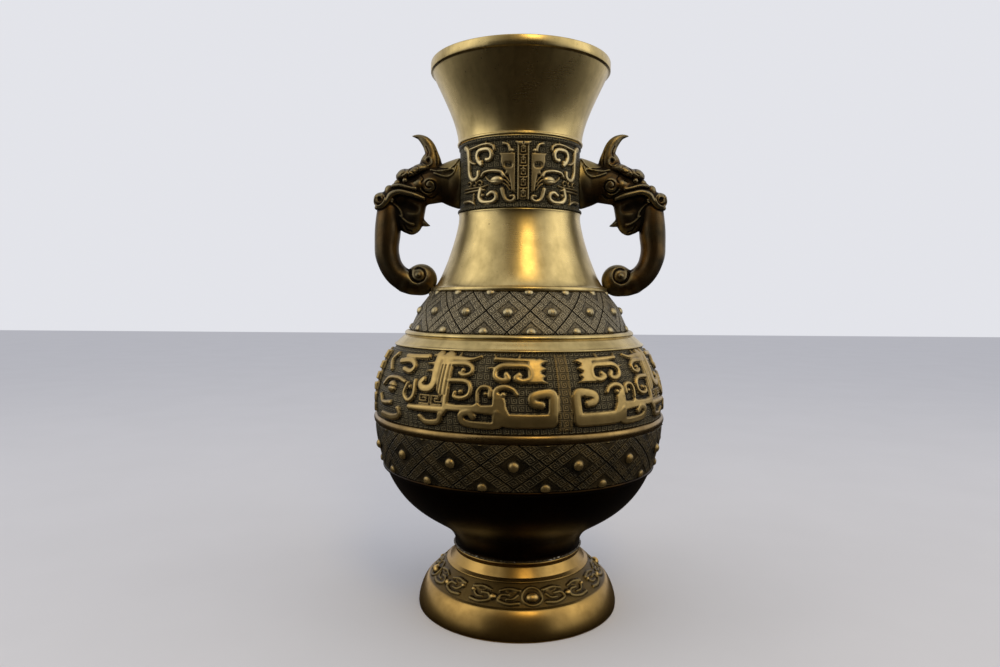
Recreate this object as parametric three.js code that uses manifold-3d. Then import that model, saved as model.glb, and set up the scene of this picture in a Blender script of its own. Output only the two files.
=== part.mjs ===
// Brass floor vase with relief bands and two beast-head handles.
//
// Millimetres, +Z up. The foot stands on z = 0, the axis of the vase is the Z axis,
// the front is -Y and the handles stand out along -X and +X.
//
// The vase is a stack of cast and spun rings. The lower edge of each ring laps over a
// spigot on the ring below it. A loose disc closes the bowl, solder seals the waist, and
// each handle is one casting, bolted to the collar from inside the neck.

import * as THREE from 'three';
import { mergeVertices } from 'three/addons/utils/BufferGeometryUtils.js';
import Module from 'manifold-3d';

const wasm = await Module();
wasm.setup();

// Driving dimensions

const facets = 28;
const clearance = 0.3;
const wall = 2.4;
const spigotHeight = 4.5;
const spigotWall = 1.3;
const skirtWall = 1.5;

// Heights of the rings, from the floor up
const footHeight = 66.5;
const bowlHeight = 96.5;
const lowerBandHeight = 46;
const bellyRingHeight = 9;
const bellyBandHeight = 74;
const mouldingHeight = 16;
const shoulderBandHeight = 42;
const neckConeHeight = 86;
const collarHeight = 74;
const mouthHeight = 90;

// Outer radii, and how far one ring stands proud of the next
const footRadius = 111.5;
const footBandLowRadius = 98.2;
const footBandTopRadius = 79;
const waistRadius = 70.3;
const bellyRingRadius = 160.8;
const ringProudBelow = 2.4;
const ringProudAbove = 3.2;
const lowerBandFlare = 8;
const bowlRimProud = 0.8;
const bowlRimStep = 3.2;
const bellyTopRadius = 136.6;
const mouldingProud = 1.4;
const mouldingDraw = 11.4;
const shoulderStep = 6;
const shoulderTopRadius = 97;
const neckRimProud = 1.6;
const collarRadius = 66.4;
const neckProud = 1;
const beadProud = 2.8;
const lipRadius = 98.8;

// Heights of the mouldings inside the rings
const footBaseHeight = 30;
const footBandHeight = 18.5;
const lipHeight = 10.4;
const neckRimHeight = 5.2;
const bandRim = 2.4;

// Relief. Its foot is sunk past the middle of the widest facet, so that it stands on the wall.
const reliefSink = 0.3 + bellyRingRadius * (1 - Math.cos(Math.PI / facets));
const ridgeWidth = 5;
const lozengeCount = 16;
const lozengeRise = 0.9;
const lozengeFrame = 0.07;
const netSpread = 9;
const lowerBossRadius = 5.6;
const lowerBossRise = 4.2;
const shoulderBossRadius = 4.4;
const shoulderBossRise = 3.4;
const bellyRelief = 3.2;
const collarRelief = 2.2;
const flangeRise = 5.4;
const flangeWidth = 8;
const flangeTeeth = 6;
const stripWidth = 14.9;
const blockWidth = 20;

// Where the patterns stand round the vase, in degrees from the front
const lowerBossTurn = -1.4;
const shoulderBossTurn = -5.5;
const bellyStripTurn = 16.1;
const collarColumnTurn = 3;
const footBossTurn = 10;

// Bottom disc, solder and handle bolts
const discThickness = 3;
const discLedge = 3.6;
const ledgeHeight = 5;
const solderLeg = 2.1;
const boltRadius = 3;
const boltHeadRadius = 5.5;
const boltHeadHeight = 3.6;
const boltReach = 16;
const boltSpread = 13;

// Handle. The arm, nose and trunk are measured outwards from the collar's wall and up from
// its lower seam, and the curl from the neck's rim.
const armHeight = 35.4;
const armHalfHeight = 26.5;
const armHalfWidth = 15;
const noseReach = 88;
const noseHeight = 16.8;
const trunkReach = 84.1;
const trunkRadius = 13.4;
const curlStandoff = 8.9;
const curlRise = 9.8;
const curlRadius = 8.4;
const handleSides = 8;

// Radii that follow from those
const lowerBandTopRadius = bellyRingRadius - ringProudBelow;
const lowerBandLowRadius = lowerBandTopRadius - lowerBandFlare;
const bowlRimRadius = lowerBandLowRadius + bowlRimProud;
const bowlTopRadius = bowlRimRadius - bowlRimStep;
const bellyLowRadius = bellyRingRadius - ringProudAbove;
const mouldingLowRadius = bellyTopRadius + mouldingProud;
const mouldingTopRadius = mouldingLowRadius - mouldingDraw;
const shoulderLowRadius = mouldingTopRadius - shoulderStep;
const neckRimRadius = shoulderTopRadius + neckRimProud;
const neckRadius = collarRadius + neckProud;
const collarBeadRadius = collarRadius + beadProud;

// Seams, from the floor up
const seamWaist = footHeight;
const seamBowl = seamWaist + bowlHeight;
const seamLowerBand = seamBowl + lowerBandHeight;
const seamBellyRing = seamLowerBand + bellyRingHeight;
const seamBelly = seamBellyRing + bellyBandHeight;
const seamMoulding = seamBelly + mouldingHeight;
const seamShoulder = seamMoulding + shoulderBandHeight;
const seamNeck = seamShoulder + neckConeHeight;
const seamCollar = seamNeck + collarHeight;
const lipTop = seamCollar + mouthHeight;
const ledgeTop = seamWaist + spigotHeight + ledgeHeight;

// Materials

const finish = (name, color, roughness) =>
  new THREE.MeshStandardMaterial({ name, color, roughness, metalness: 1 });

const satinBrass = finish('satin_brass', 0xa8904f, 0.38);
const reliefBronze = finish('relief_bronze', 0x6f6341, 0.5);
const darkBowl = finish('dark_bowl', 0x4f4228, 0.35);
const handleBronze = finish('handle_bronze', 0x5c4526, 0.42);
const steel = finish('bolt_steel', 0x8d8d88, 0.45);
const solder = finish('solder', 0xa9a698, 0.5);

// Solids

// A closed geometry as a solid that can be joined and cut.
function solidOf(geometry) {
  const bare = geometry.clone();
  bare.deleteAttribute('normal');
  bare.deleteAttribute('uv');
  const merged = mergeVertices(bare, 1e-4);
  const corners = merged.index.array;
  const kept = [];
  for (let i = 0; i < corners.length; i += 3) {
    const [a, b, c] = [corners[i], corners[i + 1], corners[i + 2]];
    if (a !== b && b !== c && c !== a) kept.push(a, b, c);
  }
  return new wasm.Manifold(new wasm.Mesh({
    numProp: 3,
    vertProperties: new Float32Array(merged.attributes.position.array),
    triVerts: new Uint32Array(kept),
  }));
}

function geometryOf(solid) {
  const mesh = solid.getMesh();
  const geometry = new THREE.BufferGeometry();
  geometry.setAttribute('position', new THREE.BufferAttribute(mesh.vertProperties, 3));
  geometry.setIndex(new THREE.BufferAttribute(mesh.triVerts, 1));
  geometry.computeVertexNormals();
  return geometry;
}

const join = (solids) => solids.reduce((whole, next) => whole.add(next));

const group = new THREE.Group();

function place(name, material, solid) {
  const mesh = new THREE.Mesh(geometryOf(solid), material);
  mesh.name = name;
  group.add(mesh);
}

// A ring turned about the Z axis from a closed profile of [radius, height] points,
// listed up the outside and down the inside.
function turned(profile, segments = facets) {
  const points = [...profile, profile[0]].map(([r, z]) => new THREE.Vector2(r, z));
  return solidOf(new THREE.LatheGeometry(points, segments).rotateX(Math.PI / 2));
}

// Points along a cubic curve in the [radius, height] plane.
function curve(start, pull1, pull2, end, steps) {
  const vectors = [start, pull1, pull2, end].map(([r, z]) => new THREE.Vector2(r, z));
  return new THREE.CubicBezierCurve(...vectors).getPoints(steps).map((p) => [p.x, p.y]);
}

// The same profile moved square to itself towards the axis by one wall.
function inset(profile, depth) {
  return profile.map(([r, z], i) => {
    const [r0, z0] = profile[Math.max(i - 1, 0)];
    const [r1, z1] = profile[Math.min(i + 1, profile.length - 1)];
    const length = Math.hypot(r1 - r0, z1 - z0);
    return [r - depth * (z1 - z0) / length, z + depth * (r1 - r0) / length];
  });
}

// A seam: a flat shoulder carries the ring above, and a tapered spigot centres it.
function seamJoint(z, skirtRadius) {
  const spigot = skirtRadius - skirtWall - clearance;
  return { z, spigot, bore: spigot - spigotWall };
}

const spigotOf = (joint) => [[joint.spigot, joint.z], [joint.bore, joint.z + spigotHeight]];

const socketOf = (joint) => [
  [joint.bore + clearance, joint.z + spigotHeight + clearance],
  [joint.spigot + clearance, joint.z + clearance],
];

function ring(lower, outer, upper, inner = []) {
  const down = [...inner].reverse();
  return turned([...outer, ...spigotOf(upper), ...down, ...socketOf(lower)]);
}

// The middle points of a curve, without its ends.
const between = (points) => points.slice(1, -1);

// The skirt radius at each seam is the smaller one of the skirt's foot and its top.
const jointWaist = seamJoint(seamWaist, waistRadius);
const jointBowl = seamJoint(seamBowl, lowerBandLowRadius - 1);
const jointLowerBand = seamJoint(seamLowerBand, lowerBandTopRadius - 1);
const jointBellyRing = seamJoint(seamBellyRing, bellyLowRadius);
const jointBelly = seamJoint(seamBelly, mouldingTopRadius + 4);
const jointMoulding = seamJoint(seamMoulding, shoulderLowRadius - 3.2);
const jointShoulder = seamJoint(seamShoulder, neckRimRadius - 3.6);
const jointNeck = seamJoint(seamNeck, collarRadius);
const jointCollar = seamJoint(seamCollar, neckRadius);

// Relief on a turned surface

// The ground that relief stands on: a point at an angle, a height and a lift off it.
function groundOf(profile) {
  const radiusAt = (z) => {
    let i = 1;
    while (i < profile.length - 1 && profile[i][1] < z) i += 1;
    const [r0, z0] = profile[i - 1];
    const [r1, z1] = profile[i];
    return r0 + (r1 - r0) * (z - z0) / (z1 - z0);
  };
  return (degrees, z, lift = 0) => {
    const slope = (radiusAt(z + 0.5) - radiusAt(z - 0.5));
    const tilt = Math.atan(-slope);
    const r = radiusAt(z) + lift * Math.cos(tilt);
    const turn = THREE.MathUtils.degToRad(degrees);
    return new THREE.Vector3(r * Math.sin(turn), -r * Math.cos(turn), z + lift * Math.sin(tilt));
  };
}

// A closed mesh through equal rings of points, with flat ends.
function skinned(rings) {
  const n = rings[0].length;
  const index = [];
  for (let i = 0; i + 1 < rings.length; i += 1) {
    for (let k = 0; k < n; k += 1) {
      const a = i * n + k;
      const b = i * n + (k + 1) % n;
      index.push(a, b, a + n, b, b + n, a + n);
    }
  }
  const last = (rings.length - 1) * n;
  for (let k = 1; k + 1 < n; k += 1) {
    index.push(0, k + 1, k, last, last + k, last + k + 1);
  }
  const geometry = new THREE.BufferGeometry();
  geometry.setAttribute('position', new THREE.Float32BufferAttribute(
    rings.flat().flatMap((p) => [p.x, p.y, p.z]), 3));
  geometry.setIndex(index);
  return solidOf(geometry);
}

// A raised strap along a drawn path of [degrees, height] points. Its width may taper
// from the first value to the last. A narrow strap is a ridge, and a wide one has a flat
// top between edges that lean in.
function strap(ground, path, widths, rise, steps) {
  const drawn = new THREE.CatmullRomCurve3(path.map(([u, v]) => new THREE.Vector3(u, v, 0)));
  const stations = drawn.getPoints(steps);
  const last = stations.length - 1;
  const narrow = Math.max(...widths) < ridgeWidth;
  const rings = stations.map(({ x, y }, i) => {
    const before = stations[Math.max(i - 1, 0)];
    const after = stations[Math.min(i + 1, last)];
    const along = ground(after.x, after.y).sub(ground(before.x, before.y)).normalize();
    const foot = ground(x, y, -reliefSink);
    const out = ground(x, y, 1).sub(ground(x, y)).normalize();
    const side = new THREE.Vector3().crossVectors(out, along).normalize();
    const half = THREE.MathUtils.lerp(widths[0], widths[1], i / last) / 2;
    const lean = Math.min(rise * 0.45, half * 0.5);
    const at = (across, lift) =>
      foot.clone().addScaledVector(side, across).addScaledVector(out, lift);
    const top = rise + reliefSink;
    return narrow
      ? [at(half, 0), at(0, top), at(-half, 0)]
      : [at(half, 0), at(half - lean, top), at(lean - half, top), at(-half, 0)];
  });
  return skinned(rings);
}

// A raised plate with a drawn outline of [degrees, height] corners.
function plate(ground, outline, rise) {
  const shape = new THREE.Shape(outline.map(([u, v]) => new THREE.Vector2(u, v)));
  const geometry = new THREE.ExtrudeGeometry(shape, { depth: rise + reliefSink, bevelEnabled: false });
  const position = geometry.attributes.position;
  for (let i = 0; i < position.count; i += 1) {
    const p = ground(position.getX(i), position.getY(i), position.getZ(i) - reliefSink);
    position.setXYZ(i, p.x, p.y, p.z);
  }
  return solidOf(geometry);
}

// A domed boss, round or oval, standing square to the ground.
function boss(ground, u, v, radius, rise, sides = 6, stretch = 1, start = 0) {
  const profile = [[0, -reliefSink], [radius, -reliefSink], [radius * 0.72, rise * 0.78], [0, rise]];
  const dome = new THREE.LatheGeometry(profile.map(([r, h]) => new THREE.Vector2(r, h)), sides, start);
  dome.rotateX(Math.PI / 2).scale(1, stretch, 1);
  const out = ground(u, v, 1).sub(ground(u, v)).normalize();
  const round = new THREE.Vector3(Math.cos(THREE.MathUtils.degToRad(u)),
    Math.sin(THREE.MathUtils.degToRad(u)), 0);
  const up = new THREE.Vector3().crossVectors(out, round).normalize();
  dome.applyMatrix4(new THREE.Matrix4().makeBasis(round, up, out).setPosition(ground(u, v)));
  return solidOf(dome);
}

// A motif is drawn once, as degrees from its axis and hundredths of its band's height.
// This repeats it on both sides of the axis and at every place round the vase.
function repeated(ground, turn, copies, foot, height, draw) {
  const solids = [];
  for (let i = 0; i < copies; i += 1) {
    const drawn = (u, v, lift) =>
      ground(turn + u + i * 360 / copies, foot + v / 100 * height, lift);
    for (const hand of [-1, 1]) {
      solids.push(...draw({
        strap: (path, widths, rise, steps) =>
          strap(drawn, path.map(([u, v]) => [hand * u, v]), widths, rise, steps),
        plate: (outline, rise) => plate(drawn, outline.map(([u, v]) => [hand * u, v]), rise),
        boss: (u, v, radius, rise, sides, oval) =>
          boss(drawn, hand * u, v, radius, rise, sides, oval),
      }));
    }
  }
  return solids;
}

// Foot: a hollow pedestal with a bulging base, a relief band and a dome up to the waist.

function makeFoot() {
  const bandLow = footBaseHeight;
  const bandTop = bandLow + footBandHeight;
  const base = curve([footRadius, 3], [footRadius, bandLow * 0.4],
    [footBandLowRadius + 7, bandLow * 0.9], [footBandLowRadius + 2, bandLow], 3);
  const dome = curve([footBandTopRadius + 1.4, bandTop + 0.8], [footBandTopRadius - 1.8, bandTop + 3.5],
    [waistRadius - 0.6, seamWaist - 12], [waistRadius, seamWaist - 4], 3);
  const flangeRadius = waistRadius + solderLeg + 0.4;
  const outer = [
    [footRadius - 1.2, 0], ...base,
    [footBandLowRadius, bandLow + 0.6], [footBandTopRadius, bandTop],
    ...dome, [flangeRadius, seamWaist - 2], [flangeRadius, seamWaist],
  ];
  const hollow = curve([footRadius - 2 * wall, 0], [footRadius - wall - 2.5, bandLow * 0.7],
    [waistRadius + 6, bandTop - 2], [jointWaist.bore, seamWaist - 9], 2);
  const body = turned([...outer, ...spigotOf(jointWaist), ...hollow.reverse()]);
  const ground = groundOf([[footBandLowRadius, bandLow], [footBandTopRadius, bandTop]]);
  const middle = footBandHeight / 2;
  const relief = repeated(ground, footBossTurn, 4, bandLow, footBandHeight, (cast) => [
    cast.boss(24.5, 42, 3, 2.2, 5),
  ]);
  for (let i = 0; i < 4; i += 1) {
    const turn = footBossTurn + i * 90;
    relief.push(boss(ground, turn, bandLow + middle, 8, 1.2, 6, 1.1));
    relief.push(boss(ground, turn, bandLow + middle, 4.4, 3.4, 6, 1.6));
  }
  return join([body, ...relief]);
}

// Bowl: the dark lower belly, open at the waist, with a ledge for the bottom disc.

function makeBowl() {
  const low = seamWaist + clearance;
  const rim = seamBowl - 3.6;
  const flank = curve([waistRadius - 0.2, low + 5], [waistRadius + 7, low + 38],
    [bowlTopRadius - 24, low + 31], [bowlTopRadius, rim], 5);
  const outer = [
    [waistRadius, low], ...flank,
    [bowlRimRadius, rim + 0.8], [bowlRimRadius, seamBowl],
  ];
  const inside = between(inset(flank, wall)).filter((_, i) => i % 2 === 1);
  const inner = [
    [jointWaist.bore - discLedge, seamWaist + spigotHeight + 1.6],
    [jointWaist.bore - discLedge, ledgeTop], [jointWaist.bore, ledgeTop],
    ...inside,
  ];
  return ring(jointWaist, outer, jointBowl, inner);
}

function makeFloorDisc() {
  const low = ledgeTop + clearance;
  const radius = jointWaist.bore - clearance;
  return turned([[0, low], [radius, low], [radius, low + discThickness], [0, low + discThickness]]);
}

// The solder that seals the waist: a fillet between the foot's flange and the bowl.
function makeSolder() {
  const inside = waistRadius + clearance;
  const low = seamWaist + clearance;
  return turned([[inside, low], [inside + solderLeg, low], [inside, low + solderLeg]]);
}

// Lozenge bands. A net of sunk lines runs round the band, with a raised plate in each of its
// frames and a boss in each lozenge. A frame is listed as [half pitches, height] corners,
// anticlockwise as seen from outside, and starts where its plate's two halves meet.
function netFrames(low, middle, high) {
  const frames = [];
  for (let i = 0; i < lozengeCount; i += 1) {
    const here = 2 * i;
    const beside = here + 1;
    frames.push([[here, low], [here + 1, middle], [here, high], [here - 1, middle]]);
    frames.push([[beside, middle], [beside + 1, high], [beside, high], [beside - 1, high]]);
    frames.push([[beside, middle], [beside - 1, low], [beside, low], [beside + 1, low]]);
  }
  return frames;
}

// A frame's plate: its corners drawn in towards their mean.
function plateOf(frame) {
  const mean = (k) => frame.reduce((sum, corner) => sum + corner[k], 0) / frame.length;
  return frame.map((corner) => corner.map((v, k) => THREE.MathUtils.lerp(v, mean(k), lozengeFrame)));
}

// A solid block whose side is the net. It reaches past both seams, and a ring's body is
// cut to it.
function netBlock(ground, turn, heights, footRadius, topRadius, seam) {
  const [low, , high] = heights;
  const columnTurn = 180 / lozengeCount;
  const corners = [];
  const face = (...points) => {
    for (let i = 1; i + 1 < points.length; i += 1) corners.push(points[0], points[i], points[i + 1]);
  };
  const line = ([column, z]) => ground(turn + column * columnTurn, z);
  const raised = ([column, z]) => ground(turn + column * columnTurn, z, lozengeRise);
  for (const frame of netFrames(...heights)) {
    const edge = frame.map(line);
    const plate = plateOf(frame).map(raised);
    frame.forEach((_, i) => {
      const next = (i + 1) % frame.length;
      face(edge[i], edge[next], plate[next], plate[i]);
    });
    face(...plate);
  }
  const rest = [
    [topRadius, seam], [topRadius, seam + netSpread], [0, seam + netSpread],
    [0, low - netSpread], [footRadius, low - netSpread], [footRadius, low - bandRim],
  ];
  const column = (j) => {
    const angle = THREE.MathUtils.degToRad(turn + j * columnTurn);
    const spun = rest.map(([r, z]) => new THREE.Vector3(r * Math.sin(angle), -r * Math.cos(angle), z));
    return [line([j, high]), ...spun, line([j, low])];
  };
  for (let j = 0; j < 2 * lozengeCount; j += 1) {
    const here = column(j);
    const beside = column(j + 1);
    for (let i = 0; i + 1 < here.length; i += 1) face(here[i], beside[i], beside[i + 1], here[i + 1]);
  }
  const geometry = new THREE.BufferGeometry();
  geometry.setAttribute('position', new THREE.Float32BufferAttribute(
    corners.flatMap((p) => [p.x, p.y, p.z]), 3));
  return solidOf(geometry);
}

function bossRow(ground, turn, v, radius, rise) {
  return Array.from({ length: lozengeCount }, (_, i) =>
    boss(ground, turn + i * 360 / lozengeCount, v, radius, rise, 5, 1, 0.3));
}

function makeLowerBand() {
  const profile = curve([lowerBandLowRadius, seamBowl + bandRim], [lowerBandLowRadius + 3, seamBowl + 16],
    [lowerBandTopRadius - 0.6, seamLowerBand - 20], [lowerBandTopRadius, seamLowerBand - bandRim], 2);
  const ground = groundOf(profile);
  const thick = lowerBandTopRadius + netSpread / 2;
  const outer = [[thick, seamBowl + clearance], [thick, seamLowerBand]];
  const body = ring(jointBowl, outer, jointLowerBand, between(inset(profile, wall)));
  const middle = seamBowl + lowerBandHeight * 0.54;
  const net = netBlock(ground, lowerBossTurn, [seamBowl + bandRim, middle, seamLowerBand - bandRim],
    lowerBandLowRadius, lowerBandTopRadius, seamLowerBand);
  return join([body.intersect(net),
    ...bossRow(ground, lowerBossTurn, middle, lowerBossRadius, lowerBossRise)]);
}

function makeBellyRing() {
  const low = seamLowerBand + clearance;
  const round = curve([bellyRingRadius - 2.4, low], [bellyRingRadius + 0.8, low + 1],
    [bellyRingRadius + 0.8, seamBellyRing - 1], [bellyRingRadius - 2.4, seamBellyRing], 4);
  return ring(jointLowerBand, round, jointBellyRing);
}

// Belly band: four mirrored quarters of strapwork that make two beast masks, with a
// plain strip where the masks' backs meet and a toothed flange down each mask's nose.

function bellyMotif(cast) {
  const high = bellyRelief;
  return [
    cast.strap([[9, 64], [8.6, 91.8]], [blockWidth * 0.9, blockWidth], high, 2),
    cast.strap([[17.2, 68.4], [12.2, 70.3], [15.4, 83.5], [23.6, 81.1], [21.6, 67.6]],
      [4.9, 4.9], high + 0.5, 4),
    cast.strap([[8.2, 35.7], [10.8, 45.9], [5, 45.9], [6, 19.7], [20.5, 20.3], [22.2, 48.6],
      [16.4, 52.7]], [5.5, 7.5], high, 6),
    cast.strap([[24, 31.1], [40, 31.1]], [9, 9.6], high - 0.4, 2),
    cast.strap([[21.4, 27], [24, 14.6], [32.4, 14.6], [34.5, 26.5]], [4.9, 4.9], high + 0.6, 3),
    cast.strap([[42.5, 35.1], [42.5, 87.3]], [10, 10], high, 2),
    cast.strap([[40, 63.2], [33.4, 56.8], [38, 44.3]], [4.9, 4.4], high + 0.4, 3),
    cast.strap([[32, 93.8], [46.6, 91.4], [48.4, 62.2], [53.6, 53.5]], [3.4, 6], high, 4),
    cast.strap([[69.5, 82.4], [61, 82.4], [62, 71.1]], [4.4, 4.4], high + 0.3, 3),
    cast.boss(70.8, 47.8, 6.4, high + 2, 6, 0.72),
    cast.strap([[78, 51.4], [71, 59.7], [63, 57.6]], [3.6, 3.2], high + 0.2, 2),
    cast.strap([[76, 7.3], [66, 9.5], [64, 20.8]], [4.9, 4.4], high + 0.4, 3),
  ];
}

// A notched rib that stands across the ground, as wide as flangeWidth.
function flange(profile, turn, low, high) {
  const ground = groundOf(profile);
  const pitch = (high - low) / flangeTeeth;
  const outline = [];
  const mark = (z, lift) => {
    const p = ground(0, z);
    outline.push(new THREE.Vector2(Math.hypot(p.x, p.y) + lift, z));
  };
  for (let i = 0; i < flangeTeeth; i += 1) {
    const foot = low + i * pitch;
    const notch = foot + pitch * 0.74;
    mark(foot, flangeRise);
    mark(notch, flangeRise);
    if (i < flangeTeeth - 1) {
      mark(notch, flangeRise * 0.45);
      mark(foot + pitch, flangeRise * 0.45);
    }
  }
  for (let i = flangeTeeth; i >= 0; i -= 2) mark(low + i * pitch, -reliefSink);
  const shape = new THREE.Shape(outline);
  const rib = new THREE.ExtrudeGeometry(shape, { depth: flangeWidth, bevelEnabled: false });
  rib.translate(0, 0, -flangeWidth / 2).rotateX(Math.PI / 2);
  return solidOf(rib.rotateZ(THREE.MathUtils.degToRad(turn - 90)));
}

function makeBellyBand() {
  const low = seamBellyRing;
  const profile = curve([bellyLowRadius, low + bandRim], [bellyLowRadius + 4, low + bellyBandHeight * 0.33],
    [bellyTopRadius + 9.5, seamBelly - 9], [bellyTopRadius + 0.6, seamBelly - bandRim], 3);
  const ground = groundOf(profile);
  const outer = [[bellyLowRadius, low + clearance], ...profile, [bellyTopRadius, seamBelly]];
  const body = ring(jointBellyRing, outer, jointBelly, between(inset(profile, wall)));
  const relief = repeated(ground, bellyStripTurn, 2, low, bellyBandHeight, bellyMotif);
  for (let i = 0; i < 2; i += 1) {
    const strip = bellyStripTurn + i * 180;
    relief.push(strap(ground, [[strip, low + 3.2], [strip, seamBelly - 3.2]],
      [stripWidth, stripWidth], bellyRelief * 0.55, 4));
    relief.push(flange(profile, strip + 90, low + 4, seamBelly - 4));
  }
  return join([body, ...relief]);
}

// Shoulder: a smooth stepped moulding under a conical lozenge band.

function makeMoulding() {
  const low = seamBelly + clearance;
  const outer = [
    [mouldingLowRadius, low], [mouldingLowRadius, low + 1.4], [mouldingLowRadius - 1.6, low + 2.4],
    [mouldingTopRadius + 1.8, seamMoulding - 6], [mouldingTopRadius - 0.4, seamMoulding - 4.8],
    [mouldingTopRadius, seamMoulding - 1.6], [mouldingTopRadius - 1.4, seamMoulding],
  ];
  return ring(jointBelly, outer, jointMoulding);
}

function makeShoulderBand() {
  const profile = [
    [shoulderLowRadius - 0.6, seamMoulding + bandRim],
    [shoulderTopRadius + 12, seamMoulding + shoulderBandHeight * 0.62],
    [shoulderTopRadius, seamShoulder - 0.6],
  ];
  const ground = groundOf(profile);
  const outer = [
    [shoulderLowRadius + netSpread, seamMoulding + clearance], [shoulderTopRadius + netSpread, seamShoulder],
  ];
  const body = ring(jointMoulding, outer, jointShoulder, [inset(profile, wall)[1]]);
  const middle = seamMoulding + shoulderBandHeight * 0.5;
  const net = netBlock(ground, shoulderBossTurn, [seamMoulding + bandRim, middle, seamShoulder - 1.6],
    shoulderLowRadius, shoulderTopRadius - 0.5, seamShoulder);
  return join([body.intersect(net),
    ...bossRow(ground, shoulderBossTurn, middle, shoulderBossRadius, shoulderBossRise)]);
}

// Neck: a smooth waisted cone that ends in a rim below and carries the collar above.

function makeNeckCone() {
  const low = seamShoulder + clearance;
  const sweep = (steps) => curve([neckRimRadius - 4, seamShoulder + neckRimHeight],
    [neckRimRadius - 13, seamShoulder + 12], [neckRadius - 1.6, seamNeck - 16],
    [neckRadius, seamNeck - 3], steps);
  const outer = [
    [neckRimRadius, low], [neckRimRadius - 0.6, seamShoulder + neckRimHeight - 0.6],
    ...sweep(5), [neckRadius + 0.8, seamNeck],
  ];
  return ring(jointShoulder, outer, jointNeck, between(inset(sweep(3), wall)));
}

// Collar: two beast masks, front and back, between the roots of the handles.

function collarMotif(cast) {
  const high = collarRelief;
  return [
    cast.plate([[7.2, 74.1], [20.6, 74.9], [16.2, 55.9], [10, 43.2], [10, 21.6], [7.2, 18.9]], high - 0.2),
    cast.strap([[17.4, 24.9], [15, 13], [9.4, 14.1]], [3.4, 3], high, 2),
    cast.strap([[17.4, 44.6], [26, 52.2], [38, 46.8]], [3.4, 2.6], high + 0.2, 2),
    cast.boss(23.4, 38.4, 5.6, high + 1.2, 6, 0.66),
    cast.strap([[31, 67.8], [29, 79.7], [40.6, 81.1], [39.4, 67.6]], [3.8, 3.8], high + 0.3, 4),
    cast.strap([[62, 89.7], [55.6, 81.1], [53.6, 45.9], [43.4, 50]], [4.4, 3.8], high, 4),
    cast.strap([[41, 23.5], [38, 7.6], [25.4, 8.9], [29, 20.3]], [4.2, 3.4], high, 4),
  ];
}

function makeCollar() {
  const low = seamNeck + clearance;
  const bead = 3.6;
  const profile = [[collarRadius, low + bead + 1.6], [collarRadius, seamCollar - 4.4]];
  const ground = groundOf(profile);
  const outer = [
    [collarBeadRadius - 1, low], [collarBeadRadius, low + bead * 0.35],
    [collarBeadRadius - 0.6, low + bead],
    ...profile, [collarRadius + 1.2, seamCollar - 3.4], [collarRadius + 1.2, seamCollar],
  ];
  const body = ring(jointNeck, outer, jointCollar);
  const relief = repeated(ground, collarColumnTurn, 2, seamNeck, collarHeight, collarMotif);
  for (let i = 0; i < 2; i += 1) {
    const column = collarColumnTurn + i * 180;
    relief.push(plate(ground, [[column - 5.4, seamNeck + 8.4], [column + 5.4, seamNeck + 8.4],
      [column + 5.4, seamCollar - 10], [column + 6.6, seamCollar - 7], [column - 6.6, seamCollar - 7],
      [column - 5.4, seamCollar - 10]], collarRelief));
  }
  return join([body, ...relief]).subtract(join(boltHoles(collarRadius + 4)));
}

// Mouth: a flaring cup with a bead at its foot and a thick square lip.

function makeMouth() {
  const low = seamCollar + clearance;
  const lipLow = lipTop - lipHeight;
  const flare = (steps) => curve([neckRadius + 1, low + 4], [neckRadius + 2.2, low + 26],
    [lipRadius - 14.5, lipLow - 27], [lipRadius - 2.2, lipLow], steps);
  return turned([
    [collarBeadRadius, low], [collarBeadRadius + 0.4, low + 1.4],
    ...flare(5),
    [lipRadius, lipLow + 1.2], [lipRadius, lipTop - 1.4], [lipRadius - 1.4, lipTop],
    [lipRadius - 4.4, lipTop],
    ...between(inset(flare(3), wall)).reverse(),
    ...socketOf(jointCollar),
  ]);
}

// Handles. Each is one casting: a horned beast's head on an arm, whose long upper lip
// drops in a trunk and curls up at its end. Stations are [out, up, half height, half
// width] along the middle of each limb, and a fifth value moves a station sideways.

const handlePoint = (out, across, up) => new THREE.Vector3(collarRadius + out, across, seamNeck + up);

// The head is drawn in hundredths of the nose's reach, with its heights from the arm's axis.
const drawn = (stations) => stations.map(([out, up, ...rest]) => {
  const unit = noseReach / 100;
  return [out * unit, armHeight + up * unit, ...rest.map((value) => value * unit)];
});

function limb(stations, sides = handleSides) {
  const rings = stations.map(([out, up, halfHeight, halfWidth, shift = 0], i) => {
    const [out0, up0] = stations[Math.max(i - 1, 0)];
    const [out1, up1] = stations[Math.min(i + 1, stations.length - 1)];
    const length = Math.hypot(out1 - out0, up1 - up0);
    const normal = [(up1 - up0) / length, -(out1 - out0) / length];
    return Array.from({ length: sides }, (_, k) => {
      const angle = (k + 0.5) * 2 * Math.PI / sides;
      const high = halfHeight * Math.cos(angle);
      const across = shift + halfWidth * Math.sin(angle);
      return handlePoint(out + normal[0] * high, across, up + normal[1] * high);
    });
  });
  return skinned(rings);
}

function knob([out, up, halfHeight, halfWidth, shift = 0]) {
  const ball = new THREE.SphereGeometry(1, 7, 4);
  const { x, y, z } = handlePoint(out, shift, up);
  return solidOf(ball.scale(halfHeight, halfWidth, halfHeight).translate(x, y, z));
}

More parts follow.
